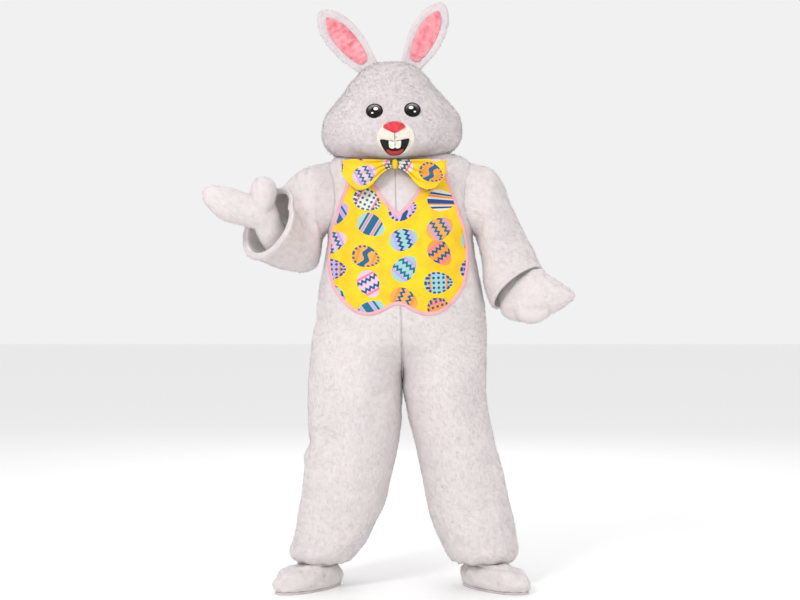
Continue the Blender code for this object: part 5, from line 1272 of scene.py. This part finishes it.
def pad_rise(x, height):
    """The muzzle's two soft pads, either side of the line under the nose."""
    return PAD_RISE * sum(bell(x - side * PAD_AT[0] - PATCH_AT[0], PAD_REACH[0])
                          * bell(height - PAD_AT[1], PAD_REACH[1]) for side in (RIGHT, LEFT))


def make_head():
    made = {}
    for face, name in ((FRONT, "head_face"), (BACK, "head_back")):
        piece = cloth_wall(f"{name}_plush", head_grid(face, 0.0), head_grid(face, -HEAD_WALL), False,
                           [PLUSH_HEAD, BACKING])
        made[name] = settled(piece, "plush", name)
    return made


def make_head_seams():
    made = []
    level = np.linspace(0.005, 0.985, 90)
    for side in (RIGHT, LEFT):
        turn = np.full(len(level), side * np.pi / 2)
        seat = (head(FRONT, turn, level) + head(BACK, turn, level)) / 2
        out = unit(head_normal(FRONT, turn * 0.98, level) + head_normal(BACK, turn * 0.98, level))
        seat = turned_head(seat - out * SEAM_DIP)
        out = turned_head(out) - turned_head(np.zeros(3))
        roll = seam_roll(f"head_seam_{NAMES[side]}", seat, out, "head")
        made.append(settled(roll, "plush"))
    return made


def ear_grid(side, alongs, shares, proud):
    """Points of the ear: proud is measured to the front from its cupped middle surface."""
    base, tip = (np.array(point) for point in EARS[side])
    root = base - unit(tip - base) * EAR_SUNK
    axis = tip - root
    across = unit(np.cross(np.array([0.0, -1.0, 0.0]), axis))
    along, share = np.meshgrid(alongs, shares, indexing="ij")
    wide = EAR_WIDTH.at("half", along) * share
    cup = EAR_CUP * (1 - share ** 2) * np.sin(np.pi * np.minimum(along * 1.2, 1.0))
    depth = cup - proud(along, share)
    zero = np.zeros_like(depth)
    local = root + along[..., None] * axis + wide[..., None] * across + np.stack([zero, depth, zero], -1)
    return turned_head(local)


def ear_thickness(share):
    return EAR_THICK * np.sqrt(np.maximum(1 - share ** 2, 0.0))


def ear_edge(along, share):
    """The roll of pile round the ear's front."""
    return EAR_ROLL * bell(np.abs(share) - 0.80, 0.16) * np.clip((1 - along) * 8, 0, 1)


def puckers(side, along, share):
    """The lining's small gathers, flat at its sewn edge."""
    waves = (np.sin(along * 92 + side * 3.4 * share + 1.4 * np.sin(9 * along + side))
             * (0.6 + 0.4 * np.sin(along * 31 + 2 * share)))
    return (PUCKER * waves + PUCKER_LIFT) * np.clip((LINING_HALF - np.abs(share)) * 9, 0, 1)


def make_ear(side):
    name = f"ear_{NAMES[side]}"
    alongs = np.concatenate([np.linspace(0.085, 0.9, 46),
                             0.9 + 0.1 * np.sin(np.linspace(0.1, 1, 10) * np.pi / 2)])
    shares = np.sin(np.linspace(-1, 1, 33) * np.pi / 2)
    front = ear_grid(side, alongs, shares, lambda a, q: ear_thickness(q) + ear_edge(a, q))
    back = ear_grid(side, alongs, shares[::-1], lambda a, q: -ear_thickness(q))[:, 1:-1]
    ear = settled(tube_body(f"{name}_plush", np.concatenate([front, back], 1), PLUSH_HEAD), "plush", name)
    length = LINING_SPAN[1] - LINING_SPAN[0]
    span = LINING_SPAN[0] + length * (0.5 - 0.5 * np.cos(np.linspace(0, np.pi, 64)))
    half = LINING_HALF * LINING_SHAPE.at("share", (span - LINING_SPAN[0]) / length)
    k = np.linspace(-1, 1, 25)
    outer, inner = (
        np.array([ear_grid(side, [a], k * h, lambda along, share: (ear_thickness(share) + LAID + thick
                                                                   + puckers(side, along, share)))[0]
                  for a, h in zip(span, half)])
        for thick in (LINING_THICK, 0.0))
    name = f"ear_lining_{NAMES[side]}"
    lining = cloth_wall(f"{name}_satin", outer, inner, False, [SATIN, BACKING])
    return ear, settled(lining, "ear_satin", name)


def round_outline(centre, size, points, corner=1.0):
    """A round or oval outline, drawn in towards its lower end when corner is below 1."""
    turn = circle(points)[:, 0]
    lean = 1 - (1 - corner) * np.maximum(-np.cos(turn), 0)
    return np.stack([centre[0] + size[0] * np.sin(turn) * lean, centre[1] + size[1] * np.cos(turn)], -1)


def make_boss(name, outline, centre, crown, under, finish, mirrored=False):
    """A domed piece that stands on the face: rings from its seat up to its crown."""
    centre = np.array(centre)
    top = face_point(*centre, np.array(0.0))[1] - crown
    turns = np.linspace(0, 1, 16) * np.pi / 2
    scales = [1.0] + [math.cos(t) ** 0.8 if t < 1.55 else 0.02 for t in turns]
    grid, flat = [], []
    for k, scale in enumerate(scales):
        at = centre + (outline - centre) * max(scale, 0.02)
        point = face_point(at[:, 0], at[:, 1], np.full(len(at), under))
        if k:
            rise = 0.25 + 0.75 * math.sin(turns[k - 1]) if k > 1 else 0.2
            point[:, 1] += (np.minimum(top, point[:, 1]) - point[:, 1]) * rise
            point[:, 0], point[:, 2] = at[:, 0], at[:, 1]
        grid.append(point)
        flat.append(at - centre)
    flat = np.array(flat) / np.abs(outline - centre).max(0) * np.array([-1 if mirrored else 1, 1])
    return tube_body(name, turned_head(np.array(grid)), finish, {"face": flat.reshape(-1, 2)})


def make_patch(name, outline, low, high, finish):
    """A thin cut piece on the face, rounded at its edge: rings in to its middle, then its back."""
    middle = outline.mean(0)
    on_pads = 0.0 if name == "muzzle_plush" else 1.0
    rings = []
    for scale, lift, pads in PATCH_RINGS:
        at = middle + (outline - middle) * scale
        rings.append(face_point(at[:, 0], at[:, 1], np.full(len(at), low + (high - low) * lift),
                                max(pads, on_pads)))
    return tube_body(name, turned_head(np.array(rings)), finish,
                     {"face": np.concatenate([outline - middle] * len(rings))}, looped=True)


def make_face():
    made = {}
    for side in (RIGHT, LEFT):
        name = f"eye_{NAMES[side]}"
        eye = make_boss(f"{name}_gloss", round_outline(EYES[side], EYE_SIZE, 48), EYES[side], EYE_CROWN,
                        LAID + 0.0002, EYE, side == LEFT)
        made[name] = settled(eye, "eye_gloss", name)
    muzzle = make_patch("muzzle_plush", round_outline(PATCH_AT, PATCH_SIZE, 72), LAID, PATCH_TOP, CREAM)
    made["muzzle"] = settled(muzzle, "muzzle_cream", "muzzle")
    mouth_low = PATCH_TOP + LAID
    nose = make_boss("nose_felt", round_outline(NOSE_AT, NOSE_SIZE, 48, NOSE_NARROW), NOSE_AT, NOSE_CROWN,
                     mouth_low, RED)
    made["nose"] = settled(nose, "nose_red", "nose")
    laid = mouth_low + 0.0010 + LAID
    for name, half, low, thick, finish, slot in (
            ("mouth", MOUTH_HALF, mouth_low, 0.0010, BLACK, "mouth_black"),
            ("teeth", TEETH_HALF, laid, 0.0023, TOOTH, "tooth_white"),
            ("lower_lip", LIP_HALF, laid, 0.0029, LIP, "lip_red")):
        outline = whole_outline(smooth_outline(half, 6))
        made[name] = settled(make_patch(f"{name}_felt", outline, low, low + thick, finish), slot, name)
    return made


def thread_along(name, places, proud, radius):
    """A thread sewn down over the face through places seen from the front, as a row of short stitches."""
    places = smooth_outline(places, 8)
    centre = turned_head(face_point(places[:, 0], places[:, 1], np.full(len(places), proud), 1.0))
    run = unit(np.gradient(centre, axis=0))
    across = unit(np.cross(run, np.array([0.0, -1.0, 0.0])))
    out = np.cross(across, run)
    swell = radius * (0.80 + 0.30 * np.abs(np.sin(np.arange(len(centre)) * np.pi / 4)))
    turn = circle(8)[None]
    grid = centre[:, None] + swell[:, None, None] * (across[:, None] * np.cos(turn)
                                                     + out[:, None] * np.sin(turn))
    return tube_body(name, grid, THREAD)


def make_stitches():
    made = [thread_along("line_under_nose", [(0.0, 1.6035), (0.0003, 1.597), (-0.0002, 1.588), (0.0, 1.5785)],
                         PATCH_TOP + 0.0004, 0.0010),
            thread_along("line_between_teeth", [(0.0, 1.573), (0.0002, 1.567), (0.0, 1.5595)],
                         PATCH_TOP + 4 * LAID + 0.0033, 0.0006)]
    return [settled(line, "mouth_black") for line in made]


# Mitts and feet

def thumb_points(side, ring):
    out, y, height, radius = ring
    nudge = MITT_NUDGE[side]
    run = np.array(THUMB_RINGS[side][-1]) - THUMB_RINGS[side][0]
    along = unit(np.array([side * run[0], run[1], run[2]]))
    across = unit(np.cross(along, np.array([0.0, 1.0, 0.0])))
    upwards = np.cross(along, across)
    centre = placed(side * (out + nudge[0]), y + nudge[1], height + nudge[2])
    t = circle(THUMB_COLUMNS)
    return centre + (across * np.cos(t) + upwards * np.sin(t)) * radius


def evaluated_mesh(piece):
    graph = bpy.context.evaluated_depsgraph_get()
    return bpy.data.meshes.new_from_object(piece.evaluated_get(graph))


def joined_block(name, grids):
    """One smooth shell round several closed bodies."""
    blocks = [tube_body(f"{name}_{k}", grid, PLUSH_SUIT) for k, grid in enumerate(grids)]
    work = bmesh.new()
    for block in blocks:
        work.from_mesh(block.data)
    work.to_mesh(blocks[0].data)
    work.free()
    remesh = blocks[0].modifiers.new("even", "REMESH")
    remesh.mode, remesh.voxel_size = "VOXEL", MITT_VOXEL
    smooth = blocks[0].modifiers.new("soft", "SMOOTH")
    smooth.factor, smooth.iterations = 0.5, 4
    shell = evaluated_mesh(blocks[0])
    for block in blocks:
        bpy.data.objects.remove(block, do_unlink=True)
    return shell


def cut(work, at, towards):
    """Keeps the part of a mesh beyond a plane."""
    bmesh.ops.bisect_plane(work, geom=work.verts[:] + work.edges[:] + work.faces[:], plane_co=Vector(at),
                           plane_no=Vector(towards), clear_inner=True)


def make_mitt(side):
    """A hollow mitten with a thumb, whose palm and back meet at a seam round its edge."""
    rings = np.array([ring_points(side, ring, MITT_COLUMNS, MITT_NUDGE[side]) for ring in MITT_RINGS[side]])
    shell = joined_block(f"mitt_{NAMES[side]}_block", [
        spline_rows(rings, 4), spline_rows([thumb_points(side, ring) for ring in THUMB_RINGS[side]], 4)])
    first, last = rings[1], rings[-2]
    centre = first.mean(0)
    forward = unit(np.cross(unit(last.mean(0) - centre), unit(first[MITT_COLUMNS // 2] - first[0])))
    if forward[1] > 0:
        forward = -forward
    wrist = rings[0].mean(0)
    into = unit(centre - wrist)
    made = []
    for part, direction in (("palm", -side), ("back", side)):
        facing = forward * direction
        work = bmesh.new()
        work.from_mesh(shell)
        cut(work, centre + facing * SEAM / 2, facing)
        cut(work, wrist + into * WRIST_TRIM, into)
        points = np.array([v.co for v in work.verts])
        normals = np.array([v.normal for v in work.verts])
        from_seam = np.abs((points - centre) @ facing - SEAM / 2)
        on_seam = from_seam < ON_SEAM
        push = np.where(on_seam, -SEAM_DIP, uneven(points) - SEAM_DIP * bell(from_seam, MITT_SEAM_REACH))
        along = normals - facing * (normals @ facing)[:, None]
        moves = np.where(on_seam[:, None], along, normals) * push[:, None]
        for vert, move in zip(work.verts, moves):
            vert.co += Vector(move)
        name = f"mitt_{NAMES[side]}_{part}"
        mesh = bpy.data.meshes.new(f"{name}_plush")
        work.to_mesh(mesh)
        work.free()
        mesh.materials.clear()
        mesh.materials.append(PLUSH_SUIT)
        mesh.materials.append(BACKING)
        mesh.shade_smooth()
        piece = linked(mesh.name, mesh)
        thick = piece.modifiers.new("wall", "SOLIDIFY")
        thick.thickness, thick.offset, thick.material_offset = PLUSH - 0.001, -1.0, 1
        piece.data = evaluated_mesh(piece)
        piece.modifiers.clear()
        made.append(settled(piece, "plush", name))
    return made


def foot_ring(side, ring):
    height, along, length, width = ring
    turn = math.radians(FOOT_TURN)
    forward = np.array([side * math.sin(turn), -math.cos(turn), 0.0])
    across = np.array([forward[1], -forward[0], 0.0])
    out, y = FOOT_PLACE[side]
    centre = placed(side * out, y, height) + forward * along
    t = circle(FOOT_COLUMNS)
    return centre + forward * length * np.cos(t) + across * width * np.sin(t) * (1 + TOE_SPREAD * np.cos(t))


def make_foot(side):
    name = f"foot_{NAMES[side]}"
    table = np.array(FOOT_RINGS)
    ground, along, length, width = table[0]
    table[:, 0] = ground + (table[:, 0] - ground) * FOOT_RISE[side]
    grid = spline_rows([foot_ring(side, ring) for ring in table], 6)
    normals = outward(grid, grid_normals(grid, True))
    t = circle(FOOT_COLUMNS).T
    rows = np.arange(len(grid))[:, None] / (len(grid) - 1)
    push = (FOOT_LUMPS * lumps(grid, 0.070, 21) * np.clip(rows * 5, 0, 1)
            + TOE_GATHERS * np.sin(15 * t) * bell(rows, 0.13) * np.clip(np.cos(t), 0, 1)
            + INSTEP_FOLDS * np.sin(rows * 17 + np.cos(t) * 2) * bell(rows - 0.72, 0.16)
            - FOOT_DIP * bell(rows, 0.05))
    outer = grid + normals * push[..., None]
    upper = cloth_wall(f"{name}_plush", outer, outer - normals * PLUSH, True, [PLUSH_SUIT, BACKING])
    sole = np.array([foot_ring(side, (height, along, length + pull, width + pull))
                     for height, pull in SOLE_EDGE])
    return (settled(upper, "plush", f"{name}_upper"),
            settled(tube_body(f"{name}_sole_cloth", sole, SOLE), "sole_cloth", f"{name}_sole"))


# Zip

ZIP_TOOTH_STEP, ZIP_TOOTH_HALF = 0.0021, 0.0006
TAPE_HALF, TOOTH_REACH, TOOTH_RISE, TOOTH_POINTS = 0.0029, 0.0017, 0.0012, 8


def make_zip():
    heights = np.arange(ZIP_LOW + 0.004, ZIP_HIGH - 0.002, ZIP_TOOTH_STEP)
    tall = np.linspace(heights[0] - 0.002, heights[-1] + 0.002, 90)
    backs = ((RIGHT, BACK), (LEFT, BACK))
    aside = np.linspace(-TAPE_HALF, TAPE_HALF, 7)[:, None] * np.array([1, 0, 0])
    outer, inner = (between(backs, 0.0, tall, proud)[:, None] + aside for proud in (-0.0012, -0.0032))
    tape = settled(cloth_wall("zip_tape_cloth", outer, inner, False, [TAPE, TAPE]), "zip_tape", "zip_chain")
    points, faces = [], []
    across = np.array([1.0, 0, 0])
    seat, out = (between(backs, 0.0, heights, proud) for proud in (-ZIP_TOOTH_HALF, ZIP_TOOTH_HALF))
    for k, (low, high) in enumerate(zip(seat, out)):
        up = unit(high - low)
        down = unit(np.cross(across, up))
        middle = low + across * (ZIP_TOOTH_HALF if k % 2 else -ZIP_TOOTH_HALF)
        start, n = len(points), TOOTH_POINTS
        for along in (-ZIP_TOOTH_HALF, ZIP_TOOTH_HALF):
            for angle in np.pi * np.arange(n) / (n - 1):
                points.append(middle + across * TOOTH_REACH * math.cos(angle)
                              + up * TOOTH_RISE * math.sin(angle) + down * along)
        faces += [[start + t, start + t + 1, start + n + 1 + t, start + n + t] for t in range(n - 1)]
        faces += [list(range(start, start + n)), list(range(start + n, start + 2 * n)),
                  [start, start + n - 1, start + 2 * n - 1, start + n]]
    coil = settled(new_piece("zip_coil_teeth", points, faces, COIL), "zip_tape")
    for node in ("zip_slider", "pull_tab"):
        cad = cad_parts[node]
        cad.data.materials.clear()
        cad.data.materials.append(METAL)
        edge = cad.modifiers.new("edge", "BEVEL")
        edge.width, edge.segments, edge.limit_method = 0.0003, 2, "ANGLE"
    return tape, coil


# Everything

suit_pieces = make_suit()
seam_rolls = make_seams()
vest, binding = make_vest()
bow_right, bow_left, bow_knot = make_bow()
head_pieces = make_head()
head_rolls = make_head_seams()
ear_right, lining_right = make_ear(RIGHT)
ear_left, lining_left = make_ear(LEFT)
face_pieces = make_face()
make_stitches()
mitts = make_mitt(RIGHT) + make_mitt(LEFT)
foot_right, sole_right = make_foot(RIGHT)
foot_left, sole_left = make_foot(LEFT)
zip_tape, zip_coil = make_zip()


def cover_tree(pieces):
    points, faces, start = [], [], 0
    for piece in pieces:
        own, _, corners, _ = mesh_arrays(piece)
        points.append(own)
        faces.append(corners + start)
        start += len(own)
    return BVHTree.FromPolygons(np.concatenate(points).tolist(), np.concatenate(faces).tolist())


covers = cover_tree([vest, binding, bow_right, bow_left, bow_knot, lining_right, lining_left, zip_tape,
                     zip_coil, *face_pieces.values()])
# Pile: pieces, the first one's seed, length and width of a tuft, and its finish
PILES = [
    (list(suit_pieces.values()), 100, 0.0065, 0.0017, TIPS),
    (list(head_pieces.values()), 100 + len(suit_pieces), 0.0085, 0.0017, HEAD_TIPS),
    ([ear_right, ear_left, foot_right, foot_left] + mitts, 200, 0.0060, 0.0016, TIPS),
    (seam_rolls, 300, 0.0060, 0.0016, TIPS),
    (head_rolls, 300 + len(seam_rolls), 0.0075, 0.0016, HEAD_TIPS),
]
LEG_AXIS = 0.2                                  # rolls down a leg get pile on the side away from its middle
piles = {}
for pieces, first_seed, length, width, finish in PILES:
    for seed, piece in enumerate(pieces, first_seed):
        out = 0.0
        if piece.name.startswith(("side_", "inseam_")):
            out = LEG_AXIS * (RIGHT if piece.name.endswith("right") else LEFT)
        axis = (out, 0.0, 0.0) if piece in seam_rolls + head_rolls else None
        piles[piece.name] = add_pile(piece, length, width, seed, covers, finish, axis)

# What each piece of cloth that shows was cut to: width, length and area in metres, and how it is held
SHEETS = [
    (suit_pieces["front_right"], 0.534, 1.683, 0.615, "hung"),
    (suit_pieces["front_left"], 0.504, 1.678, 0.611, "hung"),
    (suit_pieces["back_right"], 0.540, 1.670, 0.608, "hung"),
    (suit_pieces["back_left"], 0.510, 1.669, 0.604, "hung"),
    (suit_pieces["sleeve_right"], 0.860, 0.424, 0.234, "hung"),
    (suit_pieces["sleeve_left"], 0.714, 0.493, 0.240, "hung"),
    (vest, 0.563, 0.560, 0.216, "laid"),
    (binding, 0.014, 2.350, 0.0328, "stretched"),
    (bow_right, 0.472, 0.108, 0.0289, "folded"),
    (bow_left, 0.459, 0.108, 0.0276, "folded"),
    (lining_right, 0.075, 0.235, 0.0137, "gathered"),
    (lining_left, 0.075, 0.235, 0.0134, "gathered"),
    (face_pieces["mouth"], 0.101, 0.056, 0.0046, "laid"),
    (face_pieces["teeth"], 0.045, 0.030, 0.0011, "laid"),
    (face_pieces["lower_lip"], 0.058, 0.022, 0.0009, "laid"),
    (mitts[0], 0.290, 0.360, 0.0758, "hung"),
    (mitts[1], 0.200, 0.340, 0.0497, "hung"),
    (mitts[2], 0.210, 0.300, 0.0462, "hung"),
    (mitts[3], 0.300, 0.310, 0.0688, "hung"),
    (foot_right, 0.760, 0.140, 0.0756, "gathered"),
    (foot_left, 0.760, 0.140, 0.0752, "gathered"),
    (zip_tape, 0.010, 0.560, 0.0048, "laid"),
]
for piece, width, length, area, held in SHEETS:
    own_pile = [piles[piece.name]] if piece.name in piles else []

# Stage

FLOOR_HALF = 30
floor = new_piece("floor", [(x * FLOOR_HALF, y * FLOOR_HALF, -SHOULDER_HEIGHT)
                            for x, y in ((-1, -1), (1, -1), (1, 1), (-1, 1))], [(0, 1, 2, 3)],
                  Finish("studio_floor", (0.92, 0.92, 0.92), Roughness=0.9).material)

scene = bpy.context.scene
scene.world = bpy.data.worlds.new("studio")
scene.world.use_nodes = True
background = scene.world.node_tree.nodes["Background"]
background.inputs["Color"].default_value = (1.0, 1.0, 1.0, 1.0)
background.inputs["Strength"].default_value = WORLD_LIGHT
scene.view_settings.view_transform = "Standard"

# Square lamps: place, what they point at, size and power
for name, at, aim, size, power in (("key", (-2.4, -4.0, 2.6), (0.0, 0.0, -0.3), 1.3, 110.0),
                                   ("fill", (3.0, -3.8, 0.6), (0.0, 0.0, -0.5), 2.6, 26.0),
                                   ("back", (0.5, 4.0, 2.6), (0.0, 0.0, -0.2), 3.0, 60.0)):
    data = bpy.data.lights.new(name, "AREA")
    data.shape, data.size, data.energy = "SQUARE", size, power
    lamp = linked(name, data)
    lamp.location = at
    lamp.rotation_mode = "QUATERNION"
    lamp.rotation_quaternion = (Vector(aim) - Vector(at)).to_track_quat("-Z", "Y")

camera_data = bpy.data.cameras.new("camera")
camera_data.lens, camera_data.sensor_width = CAMERA_LENS, 36.0
camera = linked("camera", camera_data)
camera.location = CAMERA_AT
camera.rotation_euler = (math.pi / 2, 0.0, 0.0)
scene.camera = camera
